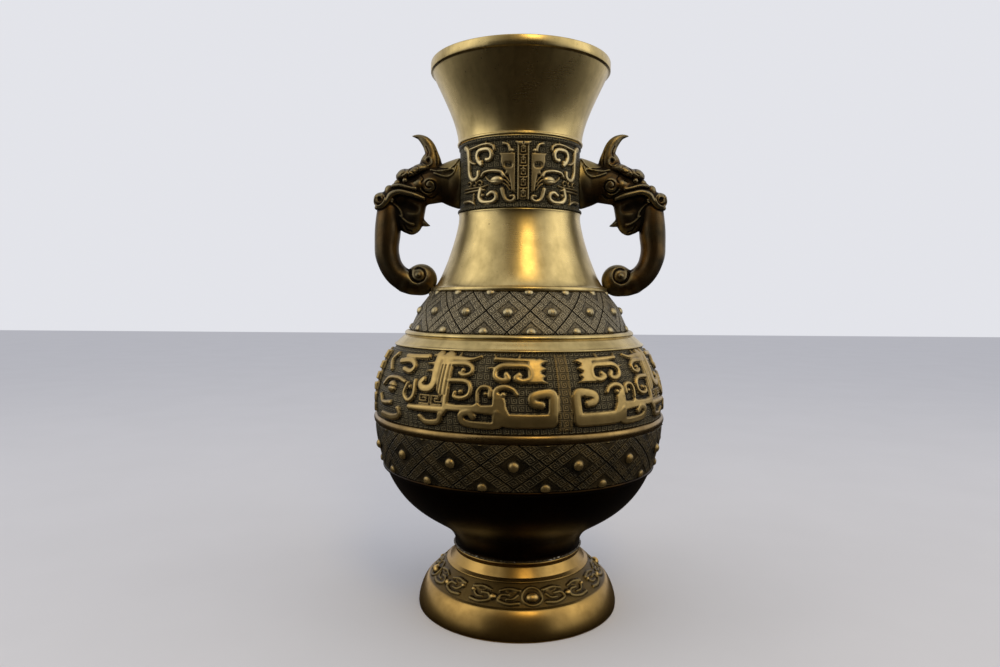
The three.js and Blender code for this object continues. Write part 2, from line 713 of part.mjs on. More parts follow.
function handleHead() {
  const flare = armHalfWidth / 10;
  const head = limb([
    [-4 * flare, armHeight, armHalfHeight + 2 * flare, armHalfWidth + flare],
    [2.4 * flare, armHeight, armHalfHeight, armHalfWidth],
    [7.7 * flare, armHeight, armHalfHeight * 0.86, armHalfWidth * 0.93],
    ...drawn([
      [29.1, -2, 24.5, 15.5], [49.5, -8, 25.9, 17], [65.5, -10.1, 22.7, 17],
      [79.1, -12, 16.5, 15.2], [95, -19.8, 9.8, 12.5],
    ]),
  ]);
  const jaw = limb(drawn([
    [59.8, -24.3, 17, 13.6], [62, -43.6, 16.4, 12], [62, -58.4, 10.7, 9.1], [60.9, -65, 4.5, 5.7],
  ]), 6);
  const chin = limb(drawn([
    [53, -51, 5.1, 4.5], [45, -53.1, 3, 3], [38.9, -53.9, 0.6, 0.7],
  ]), 4);
  const brow = limb(drawn([
    [39.3, 17.7, 6.8, 10.8], [49.5, 14.9, 6.4, 13.6], [59.8, 12.4, 6, 14.8],
    [71.1, 11.7, 6.2, 14.2], [78.5, 10.6, 5.2, 10.2], [81.7, 9.2, 2.3, 5.7],
  ]), 6);
  const horn = limb(drawn([
    [36.5, 14.3, 13.6, 8.5], [36.8, 27.4, 10.9, 7.7], [36.9, 35.9, 7.8, 6.4], [39.5, 45, 6.4, 5],
    [44.8, 52.2, 5.2, 4], [51.8, 56.7, 3.5, 2.8], [61.4, 58.9, 0.7, 0.7],
  ]), 6);
  const nose = knob([noseReach, noseHeight, noseReach * 0.107, noseReach * 0.13]);
  const sides = [-1, 1].flatMap((hand) => [
    limb(drawn([
      [95, -19.8, 2.5, 3, hand * 11.4], [85.9, -14.1, 3.2, 3.4, hand * 13.4],
      [72.3, -13.2, 3.2, 3.4, hand * 15], [56.4, -17.3, 3.2, 3.4, hand * 16.1],
      [42.7, -21.8, 1.8, 2.3, hand * 15],
    ]), 4),
    knob(...drawn([[38.2, -6.8, 11.8, 5.5, hand * 14.8]])),
    limb(drawn([
      [37, 12, 2.3, 1.8, hand * 13.6], [24.5, 12, 7.5, 3, hand * 14.8],
      [12, 13.9, 5.7, 2.7, hand * 15.5], [5.2, 21.1, 0.9, 0.9, hand * 14.8],
    ]), 4),
  ]);
  return [head, jaw, chin, brow, horn, nose, ...sides];
}

function handleTrunk() {
  const curlOut = neckRimRadius + curlStandoff - collarRadius;
  const curlUp = seamShoulder + neckRimHeight + curlRise - seamNeck;
  const lowered = (part) => noseHeight + (curlUp - noseHeight) * part;
  const station = (back, part, size) =>
    [trunkReach - back * trunkRadius, lowered(part), size * trunkRadius, size * trunkRadius];
  const drop = [
    station(0.34, 0.01, 0.82), station(0.11, 0.19, 0.92), station(0, 0.42, 1), station(0.04, 0.62, 1),
    station(0.25, 0.78, 1), station(0.79, 0.95, 0.94), station(1.51, 1.055, 0.84),
    [curlOut + 1.67 * curlRadius, curlUp - 1.12 * curlRadius, 1.17 * curlRadius, 1.19 * curlRadius],
  ];
  const turns = 6;
  const curl = Array.from({ length: turns }, (_, i) => {
    const part = i / (turns - 1);
    const angle = THREE.MathUtils.degToRad(-66 - 44 * i);
    const reach = curlRadius * THREE.MathUtils.lerp(1.48, 0.88, part);
    const thick = curlRadius * THREE.MathUtils.lerp(1, 0.57, part);
    const out = curlOut + curlRadius * 0.12 + reach * Math.cos(angle);
    return [out, curlUp + curlRadius * 0.06 + reach * Math.sin(angle), thick, thick * 1.2];
  });
  const tip = [curlOut + curlRadius * 0.48, curlUp + curlRadius * 0.24];
  return [limb([...drop, ...curl]), knob([...tip, curlRadius * 0.79, curlRadius * 1.12])];
}

// The holes for the handle bolts, from inside the collar out to a given radius.
function boltHoles(reach) {
  return [-1, 1].flatMap((side) => [-boltSpread, boltSpread].map((up) => {
    const hole = new THREE.CylinderGeometry(boltRadius + clearance, boltRadius + clearance,
      reach - collarRadius / 2, 8);
    const middle = side * (reach + collarRadius / 2) / 2;
    return solidOf(hole.rotateZ(Math.PI / 2).translate(middle, 0, seamNeck + armHeight + up));
  }));
}

// The handle is filed to its seat: the collar's wall, the neck's sweep and the neck's rim.
function makeHandle() {
  const seatRadius = collarRadius + clearance;
  const rimTop = seamShoulder + neckRimHeight + clearance;
  const seat = turned([
    [0, 0], [neckRimRadius + clearance, 0], [neckRimRadius + clearance, rimTop - 0.6],
    [neckRimRadius - 3, rimTop], [neckRadius + 5, rimTop + 32], [seatRadius, seamNeck],
    [seatRadius, lipTop], [0, lipTop],
  ]);
  const reach = collarRadius + boltReach + clearance;
  return join([...handleHead(), ...handleTrunk()]).subtract(seat).subtract(join(boltHoles(reach)));
}

// A bolt from inside the neck: its head bears on the collar, its shank enters the arm.
function makeBolt(up) {
  const bore = collarRadius - skirtWall - clearance - spigotWall;
  const flat = Math.sqrt(bore ** 2 - boltHeadRadius ** 2) * Math.cos(Math.PI / facets) - clearance;
  const end = collarRadius + boltReach - 1;
  const head = new THREE.CylinderGeometry(boltHeadRadius, boltHeadRadius, boltHeadHeight, 6);
  head.rotateZ(Math.PI / 2).translate(flat - boltHeadHeight / 2, 0, 0);
  const shank = new THREE.CylinderGeometry(boltRadius, boltRadius, end - flat + 1, 8);
  shank.rotateZ(Math.PI / 2).translate((end + flat - 1) / 2, 0, 0);
  const bolt = join([solidOf(head), solidOf(shank)]);
  return bolt.translate([0, 0, seamNeck + armHeight + up]);
}

place('foot', satinBrass, makeFoot());
place('waist_solder', solder, makeSolder());
place('lower_bowl', darkBowl, makeBowl());
place('floor_disc', darkBowl, makeFloorDisc());
place('lower_lozenge_band', reliefBronze, makeLowerBand());
place('belly_ring', satinBrass, makeBellyRing());
place('belly_mask_band', reliefBronze, makeBellyBand());
place('shoulder_moulding', satinBrass, makeMoulding());
place('shoulder_lozenge_band', reliefBronze, makeShoulderBand());
place('neck_cone', satinBrass, makeNeckCone());
place('neck_collar', reliefBronze, makeCollar());
place('mouth_cup', satinBrass, makeMouth());

const rightHandle = makeHandle();
place('right_handle', handleBronze, rightHandle);
place('left_handle', handleBronze, rightHandle.rotate([0, 0, 180]));
for (const [level, up] of [['lower', -boltSpread], ['upper', boltSpread]]) {
  const bolt = makeBolt(up);
  place(`right_${level}_bolt`, steel, bolt);
  place(`left_${level}_bolt`, steel, bolt.rotate([0, 0, 180]));
}

export default group;
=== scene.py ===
# %% [markdown]
# # A brass floor vase
# A tall vase cast and spun in brass rings: smooth turned rings carry bands of relief, and
# two beast's heads stand out from the collar as handles. The CAD model gives every ring its
# place. This lesson gives each ring its fine surface and its old, rubbed finish.
#
# The frame comes first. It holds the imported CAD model, and it says where each piece lies.

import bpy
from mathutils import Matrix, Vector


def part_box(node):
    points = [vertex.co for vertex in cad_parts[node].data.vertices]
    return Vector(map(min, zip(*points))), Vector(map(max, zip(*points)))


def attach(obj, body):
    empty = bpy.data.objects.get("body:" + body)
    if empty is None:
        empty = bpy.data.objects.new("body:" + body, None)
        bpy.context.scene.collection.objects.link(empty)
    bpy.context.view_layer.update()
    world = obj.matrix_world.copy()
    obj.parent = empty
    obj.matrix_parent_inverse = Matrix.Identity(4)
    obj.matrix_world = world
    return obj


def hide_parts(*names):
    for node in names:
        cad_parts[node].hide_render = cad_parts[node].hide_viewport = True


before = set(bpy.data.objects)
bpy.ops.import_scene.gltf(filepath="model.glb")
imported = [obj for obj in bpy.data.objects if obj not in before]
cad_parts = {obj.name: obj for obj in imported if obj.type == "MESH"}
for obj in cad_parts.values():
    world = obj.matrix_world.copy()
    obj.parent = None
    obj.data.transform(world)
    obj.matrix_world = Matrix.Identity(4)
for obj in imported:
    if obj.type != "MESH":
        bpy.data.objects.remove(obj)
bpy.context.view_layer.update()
print("nodes in the frame:", len(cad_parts))

# %% [markdown]
# The vase is drawn in millimetres, as a founder would draw it, and turned into metres only
# when a mesh is made. Heights and radii come from the CAD rings, and a ring stands a hair
# above its seam. The waist, the neck and the collar's wall aren't the widest place of any
# ring, so they are measured inward from one that is.

# %% Seams and radii from the frame
import math

import bpy
import numpy as np
from mathutils import Matrix, Vector

MM = 0.001
CLEARANCE = 0.3
BAND_GAP = 0.15
RING_GAP = 0.1


def low_of(node):
    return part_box(node)[0].z / MM


def reach_of(node):
    low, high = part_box(node)
    return max(high.x, -low.x) / MM


RINGS = ("lower_bowl", "lower_lozenge_band", "belly_ring", "belly_mask_band",
         "shoulder_moulding", "shoulder_lozenge_band", "neck_cone", "neck_collar", "mouth_cup")
SEAM = {name: low_of(name) - CLEARANCE for name in RINGS}
LIP_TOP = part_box("mouth_cup")[1].z / MM
FOOT_R = reach_of("foot")
BOWL_RIM_R = reach_of("lower_bowl")
RING_R = reach_of("belly_ring")
NECK_RIM_R = reach_of("neck_cone")
BEAD_R = reach_of("neck_collar")
LIP_R = reach_of("mouth_cup")
REACH_R = reach_of("right_handle")
WAIST_R = FOOT_R - 41.2
NECK_R = BEAD_R - 1.8
COLLAR_R = BEAD_R - 2.8
WALL = 2.4
print("seams", {name: round(z, 1) for name, z in SEAM.items()})

# %% [markdown]
# A ring is drawn as a profile: points of radius and height, with round stretches as cubic
# curves. The inside is the same line moved square to itself by the wall.

# %% Profiles
def bend(start, pull1, pull2, end, steps=24):
    """Points along a cubic curve in the plane of radius and height."""
    t = np.linspace(0, 1, steps + 1)[:, None]
    a, b, c, d = (np.array(p, float) for p in (start, pull1, pull2, end))
    return (1 - t) ** 3 * a + 3 * t * (1 - t) ** 2 * b + 3 * t ** 2 * (1 - t) * c + t ** 3 * d


def line(*parts):
    """One profile from points and curves, in order."""
    return np.vstack([np.atleast_2d(np.array(part, float)) for part in parts])


def evened(profile, count):
    """The same profile with its points at equal steps along it."""
    steps = np.hypot(*np.diff(profile, axis=0).T)
    walked = np.concatenate([[0], np.cumsum(steps)])
    wanted = np.linspace(0, walked[-1], count)
    return np.column_stack([np.interp(wanted, walked, profile[:, k]) for k in (0, 1)])


def outward(profile):
    """Unit normals of a profile that is drawn upwards, pointing away from the axis."""
    along = np.gradient(profile, axis=0)
    along /= np.linalg.norm(along, axis=1)[:, None]
    return np.column_stack([along[:, 1], -along[:, 0]])


def inside_of(profile):
    """The inner line, drawn from the top down."""
    return (profile - WALL * outward(profile))[::-1]


trial = bend([10, 0], [14, 4], [14, 8], [10, 12])
print("a trial bend has", len(trial), "points and reaches", trial[:, 0].max(), "mm")

# %% [markdown]
# Every ring is a closed skin: rows of points go up the outside and down the inside, and
# both ways round the grid close. A relief only lifts the outside rows along their normals.
# Each point also keeps two numbers for the finish: how proud it stands, in millimetres, and
# how hollow the surface is around it, from 0 to 1. Metal is rubbed bright where it is proud,
# and where it is hollow it is darkened, for patina and as painted shade. Points inside the
# ring are marked -1 proud, so that a finish can keep a cast pattern off them.

# %% A mesh from points
def keep_numbers(mesh, name, values):
    layer = mesh.attributes.new(name=name, type="FLOAT", domain="POINT")
    layer.data.foreach_set("value", np.ascontiguousarray(values, dtype=np.float32).ravel())


def piece_from(name, points_mm, quads, numbers):
    """A smooth shaded mesh object from points in millimetres."""
    mesh = bpy.data.meshes.new(name)
    mesh.vertices.add(len(points_mm))
    mesh.vertices.foreach_set("co", (np.asarray(points_mm) * MM).astype(np.float32).ravel())
    mesh.loops.add(quads.size)
    mesh.loops.foreach_set("vertex_index", quads.astype(np.int32).ravel())
    mesh.polygons.add(len(quads))
    mesh.polygons.foreach_set("loop_start", np.arange(0, quads.size, 4, dtype=np.int32))
    mesh.update(calc_edges=True)
    mesh.validate()
    mesh.shade_smooth()
    for key, values in numbers.items():
        keep_numbers(mesh, key, values)
    piece = bpy.data.objects.new(name, mesh)
    bpy.context.scene.collection.objects.link(piece)
    return piece


# %% Turn a ring
INNER_MARK = -1.0


def turn_ring(name, outer, inner, segments, phase=0.0, relief=None, hollow=None):
    """A closed ring. relief and hollow are grids of outer rows by segments."""
    rows = len(outer)
    turns = np.radians(phase + np.arange(segments) * 360 / segments)
    flat = np.zeros((rows, segments))
    proud = flat if relief is None else relief
    hollow = flat if hollow is None else hollow
    normal = outward(outer)
    radius = np.vstack([outer[:, :1] + normal[:, :1] * proud,
                        np.repeat(inner[:, :1], segments, axis=1)])
    height = np.vstack([outer[:, 1:] + normal[:, 1:] * proud,
                        np.repeat(inner[:, 1:], segments, axis=1)])
    points = np.stack([radius * np.sin(turns), -radius * np.cos(turns), height], axis=-1)
    total = len(radius)
    i, j = np.meshgrid(np.arange(total), np.arange(segments), indexing="ij")
    up, on = (i + 1) % total, (j + 1) % segments
    quads = np.stack([i * segments + j, i * segments + on,
                      up * segments + on, up * segments + j], axis=-1)
    numbers = {}
    for key, outside, inside in (("proud", proud, INNER_MARK), ("hollow", hollow, 0.0)):
        numbers[key] = np.vstack([outside, np.full((total - rows, segments), inside)])
    return piece_from(name, points.reshape(-1, 3), quads.reshape(-1, 4), numbers)


# %% [markdown]
# A relief is drawn as straps, plates, balls and grooves on a flat sheet: degrees
# from the motif's own axis, and millimetres above the band's foot. The drawing works with
# distances: the height of a strap depends on how far a point is from its line. A drawn line
# is a smooth curve through its points, cut into short straight stretches.

# %% Smooth lines and distances from them
def drawn_line(stations, steps=10):
    """A smooth line through drawn stations, each of any number of values."""
    p = np.array(stations, float)
    if len(p) < 3:
        return p
    p = np.vstack([2 * p[0] - p[1], p, 2 * p[-1] - p[-2]])
    t = np.linspace(0, 1, steps, endpoint=False)[:, None]
    out = [0.5 * (2 * b + (c - a) * t + (2 * a - 5 * b + 4 * c - d) * t ** 2
                  + (3 * b - a - 3 * c + d) * t ** 3)
           for a, b, c, d in zip(p, p[1:], p[2:], p[3:])]
    return np.vstack(out + [p[-2:-1]])


def from_stretch(x, y, start, end):
    """How far along a stretch its nearest point lies, 0 to 1, and the way from there to x, y."""
    run, climb = end[0] - start[0], end[1] - start[1]
    size = run ** 2 + climb ** 2 + 1e-9
    t = np.clip(((x - start[0]) * run + (y - start[1]) * climb) / size, 0, 1)
    return t, x - start[0] - t * run, y - start[1] - t * climb


trial = drawn_line([[0, 0], [4, 2], [6, 6], [4, 9]])
print("four drawn points make a line of", len(trial))

# %% [markdown]
# A sheet holds half a motif, because a mask is symmetrical. Its straps have rounded edges
# and a soft crown, and fullness widens them all alike, to match how full they look on the
# cast band. A strap, ball or plate only ever raises the sheet, so their order doesn't matter.

# %% A sheet to draw relief on
STRAP_EDGE = 1.7
PLATE_EDGE = 1.6
STRAP_REACH = 9
NOWHERE = 1e6


class Sheet:
    """Half a motif: columns of degrees from its axis, rows of millimetres above its foot."""

    def __init__(self, columns, degrees, heights, mm_per_degree, fullness=1.0):
        self.scale = mm_per_degree
        self.fullness = fullness
        self.x, self.y = np.meshgrid(np.linspace(0, degrees, columns) * mm_per_degree, heights)
        self.height = np.zeros_like(self.x)
        self.cut = np.zeros_like(self.x)

    def away(self, path):
        """Distance to a drawn line, and how far along it the nearest point lies, 0 to 1."""
        p = drawn_line(path) * (self.scale, 1)
        best = np.full(self.x.shape, NOWHERE)
        place = np.zeros(self.x.shape)
        for k, ((x0, y0), (x1, y1)) in enumerate(zip(p, p[1:])):
            near = (self.x > min(x0, x1) - STRAP_REACH) & (self.x < max(x0, x1) + STRAP_REACH)
            near &= (self.y > min(y0, y1) - STRAP_REACH) & (self.y < max(y0, y1) + STRAP_REACH)
            t, dx, dy = from_stretch(self.x[near], self.y[near], (x0, y0), (x1, y1))
            far = np.hypot(dx, dy)
            closer = far < best[near]
            best[near] = np.where(closer, far, best[near])
            place[near] = np.where(closer, (k + t) / (len(p) - 1), place[near])
        return best, place

    def raise_to(self, height):
        self.height = np.maximum(self.height, height)

    def strap(self, path, widths, rise):
        """A strap along a path, with a width at its start and one at its end."""
        far, place = self.away(path)
        half = (widths[0] + (widths[1] - widths[0]) * place) / 2 * self.fullness
        inside = np.clip((half - far) / np.minimum(STRAP_EDGE, half), 0, 1)
        crown = 0.14 * rise * np.clip(1 - far / half, 0, 1)
        self.raise_to(np.sqrt(1 - (1 - inside) ** 2) * (rise * 0.9 + crown))

    def ball(self, u, v, radius, rise, wide=1.0):
        far = np.hypot((self.x - u * self.scale) / wide, self.y - v)
        inside = np.clip(1 - (far / radius) ** 2, 0, 1)
        self.raise_to(rise * np.sqrt(inside))

    def plate(self, outline, rise):
        """Raise a drawn outline. The distance to its edge rounds the edge off."""
        p = np.array(outline, float) * (self.scale, 1)
        inside = np.zeros(self.x.shape, bool)
        far = np.full(self.x.shape, NOWHERE)
        for (x0, y0), (x1, y1) in zip(p, np.roll(p, -1, axis=0)):
            if y0 != y1:
                crosses = (self.y > min(y0, y1)) & (self.y <= max(y0, y1))
                inside ^= crosses & (self.x < x0 + (self.y - y0) * (x1 - x0) / (y1 - y0))
            _, dx, dy = from_stretch(self.x, self.y, (x0, y0), (x1, y1))
            far = np.minimum(far, np.hypot(dx, dy))
        edge = np.clip(np.where(inside, far, 0) / PLATE_EDGE, 0, 1)
        self.raise_to(rise * np.sqrt(1 - (1 - edge) ** 2))

    def groove(self, path, width, depth):
        """Cut a rounded line into whatever stands there."""
        far, _ = self.away(path)
        self.cut = np.maximum(self.cut, depth * np.clip(1 - (far / (width / 2)) ** 2, 0, 1))

    def relief(self):
        return self.height - np.minimum(self.cut, self.height * 0.85 + 0.25)


# %% [markdown]
# The band's columns look up their place on the half sheet, there and back again. Hollows
# are found by blurring the relief: where the blurred relief is higher than the relief
# itself, the surroundings stand higher. Patina stays there, and shade falls there, which
# the finishes paint in.

# %% Columns and hollows
HOLLOW_REACH = 18
HOLLOW_MM = 1.2


def mirrored_columns(segments, copies):
    """For each column round the ring, its column on the half motif's sheet."""
    half = segments // (2 * copies)
    return np.abs((np.arange(segments) + half) % (2 * half) - half), half + 1


def softened(grid, times):
    """A grid of the ring, blurred round and up."""
    for _ in range(times):
        grid = (np.roll(grid, 1, axis=1) + 2 * grid + np.roll(grid, -1, axis=1)) / 4
        padded = np.vstack([grid[:1], grid, grid[-1:]])
        grid = (padded[:-2] + 2 * padded[1:-1] + padded[2:]) / 4
    return grid


def hollow_of(relief):
    """How hollow each point of a relief is, from 0 to 1."""
    return np.clip((softened(relief, HOLLOW_REACH) - relief) / HOLLOW_MM, 0, 1)


print("twelve columns of one copy:", mirrored_columns(12, 1)[0])

# %% [markdown]
# ## The belly band
# The main band carries two beast masks in rounded straps on a fret ground. Four mirrored
# quarters make them. A fretted strip marks where the masks' backs meet, and a toothed
# flange stands down each mask's nose. The straps are real geometry, about three
# millimetres proud, and the fine fret between them is left to the finish. One half of a
# mask is drawn in four parts, from the strip at 0 degrees to the flange at 90.

# %% Draw the back of the mask
BELLY_TURN = 16.1
BELLY_RISE = 2.9


def mask_back(sheet, high):
    sheet.plate([[12.8, 46], [5, 46.2], [7.2, 50], [6, 53.2], [7.8, 56], [5.4, 59.4], [7.6, 62.4],
                 [4.6, 66.4], [8, 68.6], [12.8, 67]], high)
    sheet.strap([[10, 66.4], [17, 66.8], [24.8, 67.6]], [4, 3.6], high)
    sheet.strap([[24, 67.2], [25.4, 71.6]], [3.4, 0.8], high - 0.3)
    sheet.strap([[16, 67], [15.4, 72.6]], [4.2, 0.8], high - 0.4)
    sheet.strap([[20.4, 54.4], [19.6, 50.8], [21.8, 49], [24.2, 52], [24.2, 58], [22, 61.6],
                 [17.6, 62], [13.2, 61.6], [11.6, 57], [12, 50.8], [14.6, 48.6], [17, 51],
                 [15.8, 54]], [4.8, 4.8], high + 0.3)
    sheet.ball(20.4, 53.6, 3, high + 0.2)
    sheet.ball(15.6, 53.6, 3, high + 0.2)
    sheet.strap([[24.4, 59.4], [27, 60]], [4, 0.8], high - 0.2)
    sheet.strap([[8.2, 27.4], [10.9, 29], [11.2, 34.6], [8, 37.2], [4.4, 36.4], [4.2, 24],
                 [4.6, 14]], [6.4, 8.8], high)
    sheet.strap([[5, 13.4], [12, 13.2], [20, 13.6]], [11, 11], high)
    sheet.ball(4.9, 12.2, 3.8, high + 0.9)
    sheet.groove([[6.8, 29], [6.8, 34]], 1.2, 1.4)


# %% Draw the fretted plate and the curls over it
def mask_plate(sheet, high):
    sheet.plate([[18.6, 8], [24.8, 8.6], [24.8, 18], [33, 19.6], [42.4, 19.6], [42.4, 27.4],
                 [41, 27.2], [37.6, 26.4], [31.6, 27], [30, 29.6], [28.6, 27], [25, 27.6],
                 [25, 36], [22.6, 38.6], [20.4, 33], [20, 26], [18.8, 19]], high)
    sheet.strap([[23.8, 33], [23.6, 40.4], [20.8, 43.2], [17.9, 41], [16.6, 36.8]], [5.6, 3.8],
                high + 0.2)
    sheet.ball(21.2, 36.4, 3, high + 0.9)
    sheet.strap([[25.8, 35], [26, 41.8], [28.8, 42.8], [30.2, 38], [30, 30]], [4.2, 3.4], high)
    sheet.ball(27.4, 36.8, 2.3, high + 0.1)
    sheet.strap([[31.4, 16.4], [33, 20.2], [35.6, 17], [34.4, 10.4], [28.6, 8.6], [22.8, 9.4],
                 [21.6, 16], [23.2, 21]], [5.8, 5.4], high + 0.4)


# %% Draw the uprights, their curls and the two square spirals
def mask_uprights(sheet, high):
    sheet.strap([[43.6, 40], [43.6, 66.6]], [13, 13], high)
    sheet.strap([[41.9, 24], [41.9, 40]], [5.6, 5.6], high)
    sheet.strap([[42.6, 62.6], [35.8, 62.8], [33.2, 59.8], [33.4, 54.6], [36, 52.6], [37.8, 54.4]],
                [4.4, 3.6], high + 0.2)
    sheet.ball(36.6, 57, 2.7, high + 0.2)
    sheet.strap([[42.6, 47.4], [35.2, 47.4], [33, 42.8], [33.3, 35.4], [35.9, 32.2], [38.6, 33.2],
                 [38.5, 37]], [4.4, 3.6], high + 0.2)
    sheet.ball(36.5, 37.8, 2.7, high + 0.2)
    sheet.strap([[48, 67.2], [40, 67.2], [34, 66.8], [30.2, 69.4]], [5.4, 2.4], high)
    sheet.strap([[39.2, 67.4], [39, 73.6]], [4.6, 0.8], high - 0.4)
    sheet.strap([[48, 69.4], [47.9, 56], [47.8, 44.6], [49.4, 39], [52.6, 38.6], [54, 42.6],
                 [52.7, 46.6]], [8.8, 5.6], high)
    for v, reach in ((69.4, 51.4), (62, 53), (55.4, 52.6)):
        sheet.strap([[48.6, v], [reach, v - 0.8]], [4.4, 1.2], high - 0.3)
    sheet.strap([[42, 20.4], [52, 20], [58, 19.6]], [6, 5.2], high)
    sheet.strap([[43.6, 16.4], [44.4, 9.4], [49.4, 7.8], [52.4, 12]], [5.2, 4.6], high + 0.1)
    sheet.ball(42.8, 17, 3, high + 0.6)
    spiral = ((-2.2, -3.8), (2.2, -3.8), (2.2, 4), (-2.2, 4), (-2.2, -1.2), (0.7, -1.2),
              (0.7, 1.6), (-0.9, 1.6))
    for middle, flip in ((45.6, 1), (50.9, -1)):
        curl = [[middle + flip * du, 28.4 + dv] for du, dv in spiral]
        for first, second in zip(curl, curl[1:]):
            sheet.strap([first, second], [1.7, 1.7], high - 0.9)
    for u in (42, 44, 45.4):
        sheet.groove([[u, 34], [u, 60.6]], 1.3, 1.6)


# %% Draw the eye and what lies round it
def mask_eye(sheet, high):
    sheet.strap([[56.8, 44], [56.4, 31], [59, 25.4], [61.8, 31], [60.8, 41]], [5, 4], high)
    sheet.ball(59, 38, 2.8, high + 0.2)
    sheet.strap([[53.6, 67.4], [60, 66.6], [67, 66.2]], [4.8, 4.2], high)
    sheet.strap([[70, 60.8], [63, 62.4], [59.4, 57.8], [61, 52.4], [65.6, 53.8]], [5.2, 4.8],
                high + 0.2)
    sheet.ball(71, 35.4, 6.4, high + 1.4, 1.3)
    sheet.groove([[66.8, 35.4], [75, 35.4]], 1.6, 2)
    sheet.strap([[79, 36], [75, 43.2], [68, 44.6], [62.6, 42]], [4.4, 3.6], high)
    sheet.strap([[77, 6], [69, 6], [64, 9.4], [64.2, 15.4]], [6, 4.8], high + 0.1)
    sheet.ball(64.8, 15.5, 3, high + 0.5)
    sheet.strap([[70, 20], [77, 18.4], [80, 25]], [4.6, 4], high)
    sheet.strap([[76, 52], [79, 60], [76, 67]], [4.8, 4], high)


belly_mask = (mask_back, mask_plate, mask_uprights, mask_eye)
print("belly mask:", len(belly_mask), "parts")

# %% [markdown]
# The strip has a thin border on each side. The flange is a tall, thin wall at the far edge
# of the sheet, and notches part it into six teeth.

# %% The strip and the flange
FLANGE_HALF = 4
FLANGE_RISE = 2.4
TOOTH_RISE = 2.9
TEETH = 6
NOTCH_AT, NOTCH_HALF = 0.87, 0.1


def strip_border(sheet):
    """The narrow upright strip on the axis of a mask's back, with its border."""
    within = (sheet.x < 2.0 * sheet.scale) & (sheet.y > 3) & (sheet.y < 72)
    sheet.height = np.where(within, 0.9, sheet.height)
    sheet.strap([[2.15, 3], [2.15, 72]], [1.4, 1.4], 1.7)


def toothed_flange(sheet, foot, top):
    """The flange on the mask's nose, at the far edge of the sheet."""
    pitch = (top - foot) / TEETH
    across = np.clip((sheet.x - (90 * sheet.scale - FLANGE_HALF)) / 0.8 + 0.5, 0, 1)
    tooth = (sheet.y - foot) / pitch
    whole = np.clip((np.abs(tooth % 1 - NOTCH_AT) - NOTCH_HALF) * pitch / 0.7, 0, 1)
    high = np.where((tooth > 0) & (tooth < TEETH - 0.13), FLANGE_RISE + TOOTH_RISE * whole, 0)
    sheet.height = np.maximum(sheet.height * (across < 0.5), across * high)


# %% [markdown]
# The band swells a little above the belly ring and then draws in to the shoulder. Its
# straps are held just inside the ring's radius, so that the ring stays the widest of the
# turned parts.

# %% Make the belly band
def banded(name, profile, segments, phase, relief):
    inner = inside_of(evened(profile, 8))
    piece = turn_ring(name, profile, inner, segments, phase, relief, hollow_of(relief))
    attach(piece, "root")
    return piece


def make_belly_band():
    foot, top = SEAM["belly_mask_band"], SEAM["shoulder_moulding"]
    rim = 2.4
    curve = bend([RING_R - 3.2, foot + rim], [RING_R + 0.8, foot + (top - foot) * 0.33],
                 [RING_R - 14.7, top - 9], [RING_R - 23.6, top - rim])
    profile = evened(line([RING_R - 3.2, foot + BAND_GAP], curve, [RING_R - 24.2, top]), 90)
    segments = 1008
    columns, count = mirrored_columns(segments, 2)
    sheet = Sheet(count, 90, profile[:, 1] - foot, math.radians(RING_R - 3.2), 1.2)
    strip_border(sheet)
    for part in belly_mask:
        part(sheet, BELLY_RISE)
    toothed_flange(sheet, 4, 70)
    relief = np.minimum(sheet.relief(), RING_R - 0.05 - profile[:, :1])
    piece = banded("belly_band", profile, segments, BELLY_TURN, relief[:, columns])
    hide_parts("belly_mask_band")
    print("belly band:", len(piece.data.polygons), "faces")
    return piece


belly_band = make_belly_band()

# %% [markdown]
# ## The lozenge bands
# Two bands are cut into lozenges, sixteen round the vase: one steep band under the belly
# ring and one conical band on the shoulder. The lattice needs no drawing by hand. Counted
# so that each corner is at one, the ways across and up from a lozenge's middle add up to
# one all along its border. There a fine line is sunk between two plates. At a little under
# half that sum lies the border of an inner panel, which is sunk a little round the boss.

# %% The relief of a lozenge band
LOZENGES = 16
PANEL = 0.46


def quarter_round(distance, reach):
    """A rounded step: 0 at no distance, 1 from reach on."""
    inside = np.clip(distance / reach, 0, 1)
    return np.sqrt(1 - (1 - inside) ** 2)


def melon(across, along, radius, rise, creases):
    """A boss with a few creases down it, like a melon."""
    far = np.hypot(across, along)
    folded = np.abs((across / radius * 1.5 + 0.5) % 1 - 0.5)
    crease = 1 - creases * 0.35 * np.clip(1 - folded / 0.16, 0, 1) * (np.abs(across) < 0.9 * radius)
    return rise * np.sqrt(np.clip(1 - (far / radius) ** 2, 0, 1)) * crease


def lozenge_relief(profile, segments, middle, half_height, boss):
    """Plates, sunk panels, bosses, and half bosses where the corners meet the edges."""
    radius_mm, rise, drop, creases = boss
    steps = np.hypot(*np.diff(profile, axis=0).T)
    along = np.concatenate([[0], np.cumsum(steps)])[:, None]
    pitch = 360 / LOZENGES
    u = (np.arange(segments)[None, :] / segments * LOZENGES + 0.5) % 1 - 0.5
    v = (along - middle) / half_height
    cell_mm = np.radians(pitch) * profile[:, :1]
    frame_sum = 2 * np.abs(u) + np.abs(v)
    inward = 1 - np.abs(frame_sum - 1)
    size = half_height / np.hypot(1, 2 * half_height / cell_mm)
    relief = 0.8 * quarter_round((1 - inward) * size - 0.25, 0.8)
    relief -= 0.35 * quarter_round((PANEL - inward) * size, 0.6)
    knob = melon(u * cell_mm, along - middle + drop, radius_mm, rise + 0.6, creases)
    relief = np.maximum(relief, knob)
    half_turn = (0.5 - np.abs(u)) * cell_mm
    for edge in (middle - half_height, middle + half_height):
        relief = np.maximum(relief, melon(half_turn, along - edge, radius_mm, rise * 0.85, 0))
    fade = np.clip(np.minimum(along, along[-1] - along) / 0.8, 0, 1)
    return relief * fade, v


